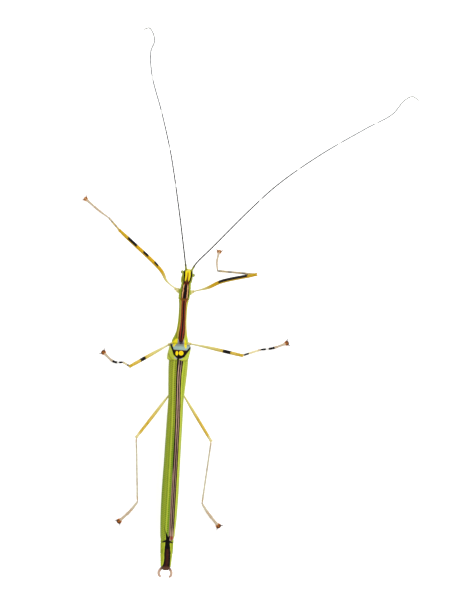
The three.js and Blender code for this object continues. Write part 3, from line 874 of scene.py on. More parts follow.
TRUNK_MARKS = (
    # the whole length
    Paint(Tint.BELLY, "height", -2.0, -0.5, 0.7, share=0.85),
    # painted highlight: the upper right flank of the thorax and head lighter green, where the key light from
    # the right falls
    Paint(Tint.BRIGHT_LIME, "band", 1.0, 9.0, 0.8, span=(-3, 12.5), upper=-0.2, share=0.6),
    # head
    Paint(Tint.SAGE, "|band|", 1.5, 9.0, 0.5, 0.1, span=(12.7, 15.5), share=0.55),
    Paint(Tint.LEMON, "|band|", -1.0, 1.0, 0.16, 0.04, span=(12.75, 15.28), upper=0.15),
    Paint(Tint.CITRINE, "along", 15.12, 16.0, 0.22, 0.08),
    Paint(Tint.SAFFRON, "|band|", -1.0, 0.4, 0.4, 0.1, span=(12.9, 14.8, 0.6), upper=0.2, share=0.9),
    Paint(Tint.UMBER, "brow", 0.0, 2.0, 0.12, 0.08, span=(12.3, 14.3, 0.7), upper=0.2),
    Paint(Tint.MAROON, "brow", 0.16, 2.0, 0.16, 0.08, span=(12.3, 13.4, 0.4), upper=0.2),
    Paint(Tint.UMBER, "|median|", -1.0, 0.07, 0.07, 0.03, span=(12.6, 14.85, 0.8), upper=0.3),
    Paint(Tint.OLIVE, "|band|", 1.42, 1.75, 0.16, 0.08, span=(12.9, 13.95), upper=0.0, share=0.9),
    Paint(Tint.SOOT, "|band|", 0.76, 1.26, 0.1, 0.08, span=(12.4, 15.3), upper=0.0),
    # pronotum
    Paint(Tint.LEAF, "along", 9.25, 12.5, 0.2, share=0.5),
    Paint(Tint.BRICK, "|band|", -1.0, 1.0, 0.2, 0.1, span=(9.2, 12.6), upper=0.1),
    Paint(Tint.CREAM, "|band|", 0.58, 0.86, 0.14, 0.2, span=(9.6, 12.3, 0.5), upper=0.1, share=0.9),
    Paint(Tint.MAROON, "|band|", -1.0, 0.5, 0.16, 0.14, span=(9.2, 12.65), upper=0.1),
    Paint(Tint.SOOT, "|median|", -1.0, 0.26, 0.1, 0.06, span=(9.2, 12.3, 0.6), upper=0.2),
    Paint(Tint.SOOT, "|band|", 0.86, 1.14, 0.1, 0.12, span=(9.5, 12.6), upper=0.0),
    Paint(Tint.UMBER, "|band|", -1.0, 1.5, 0.2, 0.1, span=(8.9, 9.45, 0.2), upper=0.1),
    # mesonotum
    Paint(Tint.OCHRE, "|band|", 0.8, 1.7, 0.5, 0.2, span=(1.8, 9.0, 1.2), upper=0.1, share=0.85),
    Paint(Tint.LEMON, "patch", -1.0, 0.0, 0.14, 0.12, upper=0.05),
    Paint(Tint.LILAC, "|median|", -1.0, 0.66, 0.16, 0.1, span=(-0.5, 1.15, 0.4), upper=0.1),
    Paint(Tint.MULBERRY, "|median|", 0.28, 0.46, 0.12, 0.08, span=(0.15, 1.1, 0.3), upper=0.2),
    Paint(Tint.ROSE, "|band|", -1.0, 1.0, 0.16, 0.1, span=(0.1, 9.1, 0.2), upper=0.1),
    Paint(Tint.BRICK, "|band|", 0.3, 0.95, 0.3, 0.2, span=(0.3, 8.6, 1.5), upper=0.1, share=0.7),
    Paint(Tint.UMBER, "|band|", 0.8, 1.3, 0.2, 0.16, span=(0.8, 9.1), upper=0.05, share=0.8),
    Paint(Tint.SOOT, "|band|", 0.7, 1.1, 0.2, 0.2, span=(0.2, 2.6, 1.6), upper=0.05),
    Paint(Tint.BUFF, "|band|", 1.2, 1.5, 0.2, 0.1, span=(1.2, 9.0, 0.8), upper=0.0, share=0.5),
    # painted shade: the left edge of the mesothorax darker olive green, on the side away from the key light
    Paint(Tint.OLIVE, "band", -2.1, -1.75, 0.2, 0.1, span=(1.2, 9.0, 0.8), share=0.6),
    Paint(Tint.SOOT, "|band|", 0.84, 1.08, 0.12, 0.12, span=(1.6, 9.1), upper=0.05, share=0.8),
    Paint(Tint.SOOT, "|median|", -1.0, 0.17, 0.06, 0.05, span=(0.2, 9.1), upper=0.2),
    # end of the abdomen
    Paint(Tint.BRIGHT_LIME, "|band|", 1.0, 1.5, 0.4, 0.2, span=(-45.2, -38), upper=0.1, share=0.7),
    Paint(Tint.PITCH, "|band|", -1.0, 1.0, 0.2, 0.08, span=(-45.6, -40.2), upper=0.05),
    Paint(Tint.MAROON, "|band|", -1.0, 0.3, 0.4, 0.3, span=(-45.6, -40.2), upper=0.1, share=0.7),
    Paint(Tint.SOOT, "|band|", 0.7, 1.14, 0.16, 0.14, span=(-45.4, -40.2), upper=0.05),
    Paint(Tint.SOOT, "star", -2.0, 0.0, 0.1, 0.1, span=(-41.6, -37.6), upper=0.1),
    Paint(Tint.CHESTNUT, "along", -47, -45.25, 0.35, 0.1),
)
TRUNK = Cuticle("green_cuticle", "trunk", Tint.LEAF, Tint.LIME, TRUNK_MARKS)


@dataclass
class Trunk:
    """Head, thorax and abdomen under one skin.

    The point at place y and angle a is (spine_x + w cos a, y, spine_z + h sin a), with h the rise above the
    spine and the depth below it, and w and h both grown by the relief: grooves at the joints, rims behind
    them, furrows and ridges along the back and flanks.

    Attributes:
        columns: Points round the body.
        front: The front of the face, mm.
        face: Depth of the rounded face, mm.
        face_rows: Rows of points on it.
        zones: Start, end and spacing of the rows in each stretch behind the face, mm.
        joints: Places of the grooves between segments, with their depths and widths, mm.
        sutures: Places of the seams across the breast, with their widths, mm.
        sockets: Places of the legs' sockets, mm.
    """

    columns: int = 88
    front: float = 15.54
    face: float = 0.5
    face_rows: int = 26
    zones: Triples = (
        (15.04, 12.2, 0.045), (12.2, 9.0, 0.05), (9.0, -1.0, 0.08), (-1.0, -37.6, 0.24), (-37.6, -45.6, 0.05),
        (-45.6, -46.0, 0.03),
    )
    joints: Triples = (
        (12.56, 0.05, 0.1), (11.3, 0.035, 0.12), (9.2, 0.1, 0.1), (0.3, 0.05, 0.14), (-1.6, 0.05, 0.16),
        (-9.9, 0.06, 0.12), (-14.4, 0.06, 0.1), (-19.0, 0.06, 0.1), (-24.2, 0.06, 0.1), (-29.5, 0.06, 0.1),
        (-34.8, 0.06, 0.1), (-40.35, 0.05, 0.07), (-42.66, 0.06, 0.07), (-44.33, 0.05, 0.06),
        (-45.42, 0.05, 0.05),
    )
    sutures: Pairs = ((7.4, 0.1), (2.2, 0.1), (-7.2, 0.14))
    sockets: tuple[float, ...] = (10.7, 0.15, -8.9)

    def surface(self) -> Shell:
        """The skin's surface, with its marks.

        Returns:
            The closed skin.
        """
        face = self.front - self.face * (1 - np.cos(np.linspace(0, math.pi / 2, self.face_rows)))
        along = np.concatenate([face[:-1], spaced(self.zones)])[:, None]
        angle = turn(self.columns)
        up, across = np.sin(angle), np.cos(angle)
        relief = self.relief(along, up, across)
        box = 1.0 + 0.1 * np.sin(2 * angle) ** 2 * smooth(12.5, 13.0, along) * smooth(15.5, 14.9, along)
        tall = np.where(up > 0, HALF_RISE(along), HALF_DEPTH(along)) + relief
        x = SPINE_X(along) + (HALF_WIDTH(along) + relief) * across * box
        y = along + 0 * angle
        aside = x - BAND_MIDDLE(along)
        marks = {
            "along": y,
            "height": up + 0 * y,
            "median": aside,
            "band": aside / BAND_HALF(along),
            "brow": BROW_HALF(along) - np.abs(aside),
            "star": stroke(x, y, STAR),
            "patch": stroke(x, y, PATCHES),
        }
        return loft(np.stack([x, y, SPINE_Z(along) + tall * up * box], -1), marks)

    def relief(self, along: Array, up: Array, across: Array) -> Array:
        """Height of the skin over its smooth form: bells across the joints, furrows and ridges.

        Args:
            along: Places along the body.
            up: Sines of the angles round it.
            across: Cosines of the same angles.

        Returns:
            The height at each place and angle, mm.
        """
        total = 0.0 * along * up
        for place, depth, width in self.joints:
            total -= depth * bell(along, place, width)
            total += 0.3 * depth * bell(along, place + 2.6 * width, 1.4 * width)
        upper, aside = up > 0, np.abs(across)
        lower = smooth(-0.5, -0.7, up)
        head = smooth(12.7, 13.0, along) * smooth(15.5, 15.2, along)
        pronotum = smooth(9.3, 9.5, along) * smooth(12.5, 12.3, along)
        mesothorax = smooth(0.4, 1.0, along) * smooth(9.1, 8.7, along)
        thorax = mesothorax + pronotum + smooth(-9.6, -9.2, along) * smooth(-0.6, -1.2, along)
        flank = bell(up, 0.12, 0.1) - bell(up, -0.12, 0.12) + 0.7 * bell(up, -0.5, 0.14)
        total -= (0.035 * head + 0.04 * pronotum) * bell(across, 0.0, 0.09) * upper
        total += 0.03 * mesothorax * bell(across, 0.0, 0.12) * upper
        total += 0.03 * (head * bell(aside, 0.64, 0.1) - pronotum * bell(aside, 0.62, 0.1)) * upper
        total += 0.03 * flank * (mesothorax + pronotum + smooth(0.0, -0.6, along))
        total += thorax * lower * (0.04 * bell(aside, 0.36, 0.1) - 0.07 * bell(across, 0.0, 0.08))
        total -= 0.07 * lower * sum(bell(along, place, width) for place, width in self.sutures)
        total += 0.08 * bell(up, -0.45, 0.3) * sum(bell(along, place, 0.5) for place in self.sockets)
        total -= 0.04 * smooth(15.1, 15.3, along) * bell(up, -0.2, 0.12) * smooth(0.75, 0.6, aside)
        return total + 0.03 * bell(up, -0.15, 0.35) * bell(along, 13.5, 0.5)

    def build(self) -> None:
        """Makes the skin in place of the frame's trunk and head."""
        abdomen = [f"abdomen_{number}" for number in range(1, 6)]
        nodes = ["head", "pronotum", "mesothorax", "metathorax", *abdomen, "anal_segment"]
        add_piece("body_skin", self.surface(), TRUNK, nodes)


# ------------------------------------------------------------------ eyes and mouth

EYE = Cuticle(
    "eye_facets",
    "eye",
    Tint.LEAF,
    Tint.MOSS,
    (
        Paint(Tint.SAGE, "polar", 0.38, 0.52, 0.1, share=0.7),
        Paint(Tint.OLIVE, "polar", 0.0, 0.3, 0.2),
        Paint(Tint.CHESTNUT, "polar", 0.0, 0.16, 0.2, share=0.8),
        Paint(Tint.LIME, "polar", 0.5, 1.2, 0.05),
    ),
    blotch=0.3,
    drawn=1.0,
    roughness=0.22,
    coat=0.35,
    gloss=0.4,
    grain=0.03,
    relief=0.012,
    facets=0.045,
)
MOUTH = Cuticle(
    "mouth_parts",
    "head",
    Tint.CITRINE,
    Tint.BELLY,
    (
        Paint(Tint.OLIVE, "along", 0.5, 2.4, 0.1, share=0.4),
        Paint(Tint.CHESTNUT, "along", 1.9, 2.4, 0.2, share=0.4),
        Paint(Tint.SAGE, "along", 3.5, 4.5, 0.3, share=0.8),
    ),
    blotch=0.4,
    drawn=1.0,
)


@dataclass
class Eyes:
    """The two compound eyes, which stand out from the sides of the head.

    Attributes:
        half: Half sizes: along the body, in height, and outward, mm.
        forward: How far an eye looks ahead of straight sideways.
        upward: How far it looks up.
        inset: How far its middle lies inside the middle of its node, mm.
        rim: How far the rim stands out, as a share, where it is from pole to pole, and its width.
    """

    half: Point = (0.36, 0.35, 0.31)
    forward: float = 0.25
    upward: float = 0.22
    inset: float = 0.07
    rim: Point = (0.08, 0.55, 0.035)

    def build(self) -> None:
        """Makes each eye in place of its node, with a rim round its facets."""
        for side in Side:
            axes = frame_towards(np.array([side.value, self.forward, self.upward]))
            low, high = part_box(f"eye_{side.label}")
            centre = (np.array(low) + np.array(high)) / 2 / METRES - BODY_ORIGIN
            centre[0] -= side.value * self.inset
            shell = ball(centre, self.half, axes, 56, 48)
            rim = self.rim[0] * bell(shell.marks["polar"], *self.rim[1:])
            shell.points = centre + (shell.points - centre) * (1 + rim)[:, None]
            add_piece(f"compound_eye_{side.label}", shell, EYE, [f"eye_{side.label}"])


PALPS = (
    ((0.5, 14.3, 5.4), (0.4, 14.95, 5.05), (0.45, 15.4, 4.85)),
    ((1.2, 14.2, 5.4), (1.45, 14.8, 5.05), (1.45, 15.25, 4.85)),
    ((0.75, 14.2, 5.3), (0.68, 14.7, 5.0), (0.72, 15.0, 4.85)),
    ((1.1, 14.2, 5.3), (1.18, 14.7, 5.0), (1.17, 15.0, 4.85)),
)


@dataclass
class Mouth:
    """Upper lip, jaws and four jointed palps under the front of the head.

    Attributes:
        middle: The middle of the lip, mm.
        lip: Half sizes of the lip, mm.
        jaw: Half sizes of a jaw, mm.
        jaw_place: A jaw's middle from the lip's, with X outward, mm.
        palp_radius: Radius of a palp at its widest, mm.
        palp_joints: Joints along a palp.
    """

    middle: Point = (0.95, 15.12, 5.72)
    lip: Point = (0.46, 0.26, 0.32)
    jaw: Point = (0.28, 0.3, 0.22)
    jaw_place: Point = (0.3, -0.12, -0.3)
    palp_radius: float = 0.12
    palp_joints: int = 3

    def palp(self, points: Sequence[Point]) -> Shell:
        """A palp: a tube along a route, waisted at its joints by radius (1 - 0.22 |cos(pi n s)|^24).

        Args:
            points: The points that it passes through.

        Returns:
            Its surface.
        """
        route, share = Route(points), np.linspace(0, 1, 60)
        waist = 1 - 0.22 * np.abs(np.cos(math.pi * self.palp_joints * share)) ** 24
        girth = rounded(share, self.palp_radius * waist * (1.1 - 0.3 * share))
        return sweep(route, share * route.length, girth, 16, {"along": np.full(60, 4.0)})

    def build(self) -> None:
        """Makes the mouth in place of the frame's palps."""
        level = np.eye(3)
        parts = [ball(self.middle + np.array([0, 0.1, -0.02]), self.lip, level, 20, 32).placed(0.0)]
        for side in Side:
            place = self.middle + np.array(self.jaw_place) * (side.value, 1, 1)
            jaw = ball(place, self.jaw, level, 18, 24)
            parts.append(jaw.placed(1.3 + 2.4 * (jaw.points[:, 1] - place[1])))
        parts += [self.palp(points) for points in PALPS]
        add_piece("mouth_parts", Shell.joined(parts), MOUTH, ["palp_left", "palp_right"])


# ------------------------------------------------------------------ feelers

FEELERS = {
    Side.LEFT: (
        (0.48, 15.4, 6.6), (-0.4, 20.5, 10.4), (-1.6, 27.1, 15.4), (-3.7, 37.3, 23.3), (-5.8, 44.7, 29.5),
        (-8, 51.4, 35.2), (-8.4, 55.5, 37.4), (-7.8, 57.6, 38.1), (-8.9, 59.7, 38.5), (-9.9, 59.4, 38.4),
    ),
    Side.RIGHT: (
        (1.56, 15.1, 6.6), (2.4, 16.7, 6.8), (5.4, 20.1, 7.2), (12.4, 28.1, 8.2), (17.8, 33.7, 8.6),
        (26, 40.3, 8.8), (34.9, 46.3, 8.4), (39.9, 49.5, 7.9), (42.2, 52.5, 7.6), (43.8, 53.4, 7.4),
        (45.1, 52.7, 7.2),
    ),
}
FEELER_RINGS = {Side.LEFT: (20.6, 29.4, 38.1, 46.1), Side.RIGHT: (20.2, 30.1, 39.8, 48.3)}
FEELER_STEM = Profile([
    (-0.1, 0.24), (0.1, 0.28), (0.2, 0.28), (0.27, 0.2), (0.9, 0.21), (1.35, 0.19), (1.45, 0.13),
    (1.55, 0.15), (1.75, 0.15), (1.9, 0.13),
])
FEELER_PAINTS = (
    Paint(Tint.STEEL, "along", 34, 90, 24),
    Paint(Tint.ASH, "along", 55, 90, 10, share=0.8),
    Paint(Tint.INK, "joint", 0.9, 2.0, 0.2, share=0.6),
    Paint(Tint.OLIVE, "along", -2.0, 1.85, 0.3),
    Paint(Tint.SAGE, "along", 0.1, 0.9, 0.3, share=0.5),
    Paint(Tint.STEEL, "along", 1.0, 1.9, 0.3, share=0.7),
)


def feeler_finish(side: Side) -> Cuticle:
    """The finish of one feeler: green base, dark thread with a few pale rings, pale tip.

    Args:
        side: The feeler's side.

    Returns:
        Its finish.
    """
    places = FEELER_RINGS[side]
    rings = tuple(Paint(Tint.PEARL, "along", at - 0.4, at + 0.4, 0.15, share=0.85) for at in places)
    return Cuticle(
        f"feeler_{side.label}_cuticle", "antenna", Tint.GRAPHITE, Tint.INK, FEELER_PAINTS + rings,
        roughness=0.5, relief=0.004,
    )


@dataclass
class Feelers:
    """The two long feelers: a stout scape, a short pedicel, and a thread of many small joints.

    Attributes:
        stem: Length of the scape and pedicel, mm.
        joint: Length of one joint of the thread, mm.
        root_radius: Radius of the thread at its root, mm.
        tip_radius: Radius at its tip, mm.
        collar: How far a joint's end stands out, as a share of the radius.
        near: Rows of one joint, as shares of it.
    """

    stem: float = 1.9
    joint: float = 1.15
    root_radius: float = 0.13
    tip_radius: float = 0.085
    collar: float = 0.22
    near: tuple[float, ...] = (0, 0.04, 0.08, 0.13, 0.3, 0.5, 0.7, 0.87, 0.92, 0.96)

    def surface(self, route: Route) -> Shell:
        """One feeler: its radius falls evenly from root to tip.

        At the joints the radius is 1 + collar c times that, with c = cos^24 of half a turn for each joint.

        Args:
            route: The way that it takes.

        Returns:
            Its surface.
        """
        rest = route.length - self.stem
        count = round(rest / self.joint)
        inside = (np.arange(count)[:, None] + np.array(self.near)).reshape(-1) / count
        arc = [np.linspace(-0.1, self.stem, 40)[:-1], self.stem + inside * rest, [route.length]]
        arc = np.concatenate(arc)
        share = np.clip((arc - self.stem) / rest, 0, 1)
        collar = np.abs(np.cos(math.pi * share * count)) ** 24
        radius = self.root_radius + (self.tip_radius - self.root_radius) * share
        radius = radius * (1 + self.collar * collar)
        radius = np.where(arc < self.stem, FEELER_STEM(arc), radius)
        radius[-1] *= 0.5
        return sweep(route, arc, radius, 14, {"along": arc, "joint": collar * (arc > self.stem)})

    def build(self) -> None:
        """Makes each feeler in place of its base and its three lengths."""
        for side in Side:
            nodes = [f"antenna_base_{side.label}", *(f"antenna_{side.label}_{i}" for i in (1, 2, 3))]
            add_piece(f"feeler_{side.label}", self.surface(Route(FEELERS[side])), feeler_finish(side), nodes)


# ------------------------------------------------------------------ wings

WING_SEAM = Profile([(-40, 0.42), (-30, 0.42), (-17, 0.32), (-3.7, -0.08)])
WING_HALF_WIDTH = Profile([
    (-40, 1.42), (-38.3, 1.5), (-35, 1.66), (-30, 1.73), (-24, 1.66), (-15, 1.6), (-11.4, 1.56), (-9, 1.7),
    (-3.7, 1.95),
])
WING_RISE = Profile([(-40, 1.3), (-38, 1.34), (-20, 1.36), (-8, 1.42), (-3.7, 1.5)])
TEGMEN_HALF_WIDTH = {
    Side.LEFT: Profile([(-4, 2.2), (-2.9, 2.36), (-2.3, 2.36), (-1.7, 2.28), (-0.5, 2.06), (0.5, 1.84)]),
    Side.RIGHT: Profile([
        (-4, 1.9), (-2.9, 2.0), (-1.7, 2.24), (-1.0, 2.34), (-0.4, 2.34), (0.2, 2.1), (0.5, 1.9),
    ]),
}
TEGMEN_RISE = Profile([(-4, 1.58), (-1.7, 1.78), (0.5, 1.72)])
TEGMEN_SEAM = Profile([(-4, -0.05), (0.5, -0.05)])
STRIPE_SHIFT = Profile([(-38, -0.02), (-30, -0.05), (-9, -0.07), (-6, -0.06), (-3.4, 0.02)])
STRIPE_SPAN = Profile([(-38, 0.85), (-9, 0.9), (-6, 0.95), (-3.4, 1.02)])
RIDGES = {
    Side.LEFT: (
        (0.28, 0.09, 0.03), (0.78, 0.13, 0.05), (1.08, 0.1, 0.035), (1.35, 0.09, 0.03), (1.6, 0.1, 0.03),
    ),
    Side.RIGHT: (
        (0.2, 0.07, 0.035), (0.58, 0.07, 0.035), (0.95, 0.1, 0.04), (1.25, 0.09, 0.03), (1.55, 0.1, 0.03),
    ),
}
VEIN_TINTS = {
    Side.LEFT: (
        Paint(Tint.SAGE, "height", -2.0, 0.3, 0.4, share=0.35),
        Paint(Tint.GRASS, "along", -41.0, -16.0, 8.0, share=0.5),
        Paint(Tint.LIME, "inward", 1.1, 1.7, 0.3, 0.1, share=0.4),
        Paint(Tint.BRIGHT_LIME, "inward", 0.6, 0.86, 0.22, 0.08, share=0.68),
        Paint(Tint.MOSS, "inward", 0.3, 0.52, 0.16, 0.06, share=0.55),
        Paint(Tint.LIME, "inward", 0.0, 0.26, 0.16, 0.06, span=(-18.0, 0.0, 6.0), share=0.85),
        Paint(Tint.GRASS, "inward", 0.0, 0.5, 0.16, 0.06, span=(-41.0, -21.0, 6.0), share=0.6),
        Paint(Tint.MOSS, "inward", 0.98, 1.1, 0.14, 0.06, share=0.5),
        Paint(Tint.MOSS, "inward", 1.46, 1.56, 0.12, 0.06, share=0.4),
        Paint(Tint.MOSS, "inward", 1.9, 2.02, 0.12, 0.06, share=0.4),
        Paint(Tint.STRAW, "ladder", 0.6, 2.0, 0.4, share=0.3),
        Paint(Tint.SOOT, "star", -2.0, 0.0, 0.08, 0.05),
    ),
    Side.RIGHT: (
        Paint(Tint.BRIGHT_LIME, "stripe", 0.9, 5.0, 0.3, 0.1, share=0.95),
        Paint(Tint.LIME, "stripe", 1.4, 5.0, 0.3, 0.1, share=0.8),
        Paint(Tint.GRASS, "stripe", 1.25, 1.6, 0.25, 0.08, share=0.45),
        Paint(Tint.MOSS, "stripe", 1.9, 2.05, 0.2, 0.08, share=0.3),
        Paint(Tint.SAGE, "height", -2.0, 0.45, 0.4, share=0.4),
        Paint(Tint.STRAW, "ladder", 0.6, 2.0, 0.4, share=0.3),
        Paint(Tint.CREAM, "stripe", -0.7, 0.95, 0.08, 0.04, share=0.6),
        Paint(Tint.TAN, "stripe", -0.1, 0.95, 0.08, 0.04),
        Paint(Tint.MULBERRY, "stripe", -0.7, 0.95, 0.08, 0.04, span=(-39.8, -18.0, 8.0), share=0.42),
        Paint(Tint.SOOT, "stripe", -0.7, 0.2, 0.05, 0.05, span=(-26.0, 0.0, 4.0)),
        Paint(Tint.SOOT, "stripe", 0.0, 0.2, 0.05, 0.05, span=(-39.6, -27.0, 3.0), share=0.9),
        Paint(Tint.SOOT, "stripe", 0.37, 0.64, 0.05, 0.05),
        Paint(Tint.SOOT, "stripe", 0.76, 1.02, 0.05, 0.05, span=(-39.0, 0.0, 3.0)),
        Paint(Tint.SOOT, "stripe", -0.5, 1.1, 0.3, 0.1, span=(-4.0, -2.0, 0.8), share=0.5),
        Paint(Tint.TAN, "stripe", 0.1, 1.05, 0.2, 0.08, span=(-39.9, -37.6, 1.2), share=0.3),
        Paint(Tint.BRICK, "inward", 0.2, 0.75, 0.2, 0.1, span=(-39.6, -38.9, 0.3), share=0.8),
        Paint(Tint.SOOT, "star", -2.0, 0.0, 0.08, 0.05),
    ),
}
V_PATH = (
    (-1.62, 0.2, 0.2), (-1.07, -0.99, 0.2), (-0.65, -1.84, 0.26), (-0.05, -2.28, 0.36), (0.44, -2.33, 0.42),
    (1.14, -2.12, 0.32), (1.73, -1.37, 0.22), (2.46, -0.4, 0.2),
)
MISTS = ((-0.55, -2.58, 0.12, -0.2, -2.7, 0.14), (0.6, -2.72, 0.14, 0.95, -2.6, 0.12))
SPOTS = {Side.LEFT: (-0.2, -1.66, 0.27, 0.45), Side.RIGHT: (0.66, -1.58, 0.46, 0.46)}
TEGMEN_MARKS = (
    Paint(Tint.BRIGHT_LIME, "outer", 0.1, 5.0, 0.3, 0.1, share=0.75),
    Paint(Tint.OLIVE, "outer", 1.05, 1.3, 0.2, 0.1, share=0.55),
    Paint(Tint.SAGE, "height", -2.0, 0.35, 0.3, share=0.5),
    Paint(Tint.SLATE, "outer", -5.0, 0.0, 0.2, 0.05),
    Paint(Tint.ASH, "along", -0.3, 0.5, 0.3, 0.15, share=0.45),
    Paint(Tint.MULBERRY, "along", -0.12, 0.5, 0.12, 0.2, share=0.3),
    Paint(Tint.LEMON, "patch", -1.0, 0.0, 0.16, 0.12),
    Paint(Tint.STEEL, "ladder", 0.6, 2.0, 0.5, share=0.3),
    Paint(Tint.MAROON, "outer", -5.0, -0.08, 0.2, 0.1, span=(-2.4, -0.94, 0.25)),
    Paint(Tint.SOOT, "outer", -5.0, -0.08, 0.2, 0.1, span=(-2.6, -1.12, 0.2), share=0.75),
    Paint(Tint.LILAC, "mist", -1.0, 0.0, 0.14, 0.08),
    Paint(Tint.SOOT, "inward", 0.0, 0.2, 0.14, 0.06, span=(-3.4, -1.1, 0.3)),
    Paint(Tint.SOOT, "stroke", -1.0, 0.0, 0.09, 0.04),
    Paint(Tint.SUN, "spot", -1.0, 0.0, 0.09, 0.03),
    Paint(Tint.APRICOT, "spot", -1.0, -0.14, 0.16, 0.04, share=0.8),
    Paint(Tint.OLIVE, "along", -4.0, -3.02, 0.14, 0.05, share=0.6),
)
TEGMEN = Cuticle("fore_wing_drawing", "tegmen", Tint.LIME, Tint.BRIGHT_LIME, TEGMEN_MARKS, blotch=0.5)


@dataclass
class Wing:
    """One folded wing: a thin crescent section carried along the back.

    The outer face at place y and angle a is (spine_x + side w cos a, y, spine_z + h sin a), from the lower
    edge up to the margin on the seam. The inner face lies a thickness inside it. Veins lift the outer face
    by bells across the distance from the margin, and cross-veins by a wave along it that starts anew
    between each two veins.

    Attributes:
        side: Which wing it is.
        rear: Its tip, mm.
        front: Its root, mm.
        wide: Half width over the spine, mm.
        rise: Height over the spine, mm.
        seam: Where its margin lies beside the spine, mm.
        edge: Angle of the lower edge.
        thickness: Thickness, mm.
        tip: Length over which the tip rounds off, mm.
        tip_place: The tip's distance from the spine, mm.
        columns: Points across one face.
        tip_rows: Rows of points on the rounded tip.
        step: Spacing of the rows, mm.
        waves: Cross-veins for each mm.
        cross_vein: Height of the cross-veins, mm.
        sunk: Depth of the membrane between the veins, mm.
        over: How far it is raised over its fellow, mm.
        lap: How far its margin passes the seam, mm.
    """

    side: Side
    rear: float
    front: float
    wide: Profile
    rise: Profile
    seam: Profile
    edge: float
    thickness: float
    tip: float
    tip_place: float
    columns: int = 60
    tip_rows: int = 42
    step: float = 0.06
    waves: float = 2.3
    cross_vein: float = 0.012
    sunk: float = 0.03
    over: float = 0.0
    lap: float = 0.0

    def surface(self) -> Shell:
        """The wing's closed surface, with its marks.

        Returns:
            The surface.
        """
        turned = self.rear + self.tip
        curl = self.rear + self.tip * (1 - np.sin(np.linspace(0, math.pi / 2, self.tip_rows)))
        along = np.concatenate([spaced([(self.front, turned, self.step)])[:-1], curl])[:, None]
        past = np.clip((turned - along) / self.tip, 0, 0.998)
        closing = 1 - np.sqrt(1 - past**2)
        wide, rise = self.wide(along), self.rise(along)
        margin = self.seam(along) * self.side.value - self.lap
        tip_angle = math.acos(self.tip_place / float(self.wide(np.array(self.rear))))
        top = np.arccos(np.clip(margin / wide, -1, 1))
        top = top + (tip_angle - top) * closing
        low = self.edge + (tip_angle - self.edge) * closing
        share = np.linspace(0, 1, self.columns)[None, :]
        angle = top + (low - top) * share
        y = along + 0 * angle
        x = SPINE_X(along) + self.side.value * wide * np.cos(angle)
        inward = (x - SPINE_X(along) - self.seam(along)) * self.side.value
        ridges = RIDGES[self.side]
        cell = np.searchsorted([place for place, _, _ in ridges], inward)
        ladder = 0.5 + 0.5 * np.cos(2 * math.pi * (self.waves * along + 0.37 * cell))
        veins = sum(height * bell(inward, place, width) for place, width, height in ridges)
        lift = veins + self.cross_vein * ladder**6 - self.sunk
        lift = lift * smooth(0.0, 0.08, share) * smooth(1.0, 0.95, share) + self.over
        outer = self.face(y, angle, wide + lift, rise + lift)
        inner = self.face(y, angle, wide - self.thickness, rise - self.thickness)[:, ::-1]
        marks = {
            "along": y,
            "height": np.sin(angle),
            "inward": inward,
            "ladder": ladder**4,
            "stripe": (inward - STRIPE_SHIFT(along)) / STRIPE_SPAN(along),
            **self.drawing(x, y),
        }
        both = {name: np.hstack([grid, grid[:, ::-1]]) for name, grid in marks.items()}
        return loft(np.hstack([outer, inner]), both, Ending.ZIP)

    def face(self, y: Array, angle: Array, wide: Array, rise: Array) -> Array:
        """One face of the wing as a grid of points."""
        x = SPINE_X(y) + self.side.value * wide * np.cos(angle)
        return np.stack([x, y, SPINE_Z(y) + rise * np.sin(angle)], -1)

    def drawing(self, x: Array, y: Array) -> dict[str, Array]:
        """Signed distances for the drawings, mm: to the V, the star, the patches and the spot.

        The one called outer is positive outside the V. The spot's is (r - 1) times its smaller half size,
        where r is the radius measured in its half sizes.

        Args:
            x: Places across the body.
            y: Places along it.

        Returns:
            The distances, by the name of their mark.
        """
        path = np.array(V_PATH)
        ways = (path * (1.0, 1.0, 0.0), path)
        bare, drawn = (stroke(x, y, np.hstack([way[:-1], way[1:]])) for way in ways)
        centre_x, centre_y, half_x, half_y = SPOTS[self.side]
        radius = np.hypot((x - centre_x) / half_x, (y - centre_y) / half_y)
        return {
            "stroke": drawn,
            "outer": np.where(y > np.interp(x, path[:, 0], path[:, 1]), -bare, bare),
            "star": stroke(x, y, STAR),
            "patch": stroke(x, y, PATCHES),
            "mist": stroke(x, y, MISTS),
            "spot": (radius - 1) * min(half_x, half_y),
        }


@dataclass
class Wings:
    """The folded hind wings and the short fore wings over their roots.

    Attributes:
        hind_tips: The hind wings' tips, in mm from the spine.
        right_over: How far the right hind wing is raised over the left one, mm.
        right_lap: How far it laps it, mm.
    """

    hind_tips: dict[Side, float] = field(default_factory=lambda: {Side.LEFT: 0.92, Side.RIGHT: 0.42})
    right_over: float = 0.04
    right_lap: float = 0.15

    def build(self) -> None:
        """Makes the four wings in place of their nodes."""
        for side in Side:
            right = side is Side.RIGHT
            veins = Cuticle(
                f"hind_wing_{side.label}_veins", "wing", Tint.FERN, Tint.LEAF, VEIN_TINTS[side],
                blotch=0.5, drawn=5.0,
            )
            hind = Wing(
                side, rear=-39.9, front=-2.0, wide=WING_HALF_WIDTH, rise=WING_RISE, seam=WING_SEAM,
                edge=-0.05, thickness=0.14, tip=2.2, tip_place=self.hind_tips[side],
                over=self.right_over * right, lap=self.right_lap * right,
            )
            fore = Wing(
                side, rear=-3.2, front=0.18, wide=TEGMEN_HALF_WIDTH[side], rise=TEGMEN_RISE, seam=TEGMEN_SEAM,
                edge=0.06, thickness=0.16, tip=0.7, tip_place=1.35, columns=72, step=0.03, waves=3.1,
            )
            add_piece(f"hind_wing_{side.label}", hind.surface(), veins, [f"wing_{side.label}"])
            add_piece(f"fore_wing_{side.label}", fore.surface(), TEGMEN, [f"tegmen_{side.label}"])


# ------------------------------------------------------------------ legs


@dataclass(frozen=True)
class LegShape:
    """Where one leg runs, in body millimetres."""

    root: Point
    hip: Point
    bends: tuple[Point, ...]
    knee: Point
    ankle: Point
    sole: Point
    toe: Point


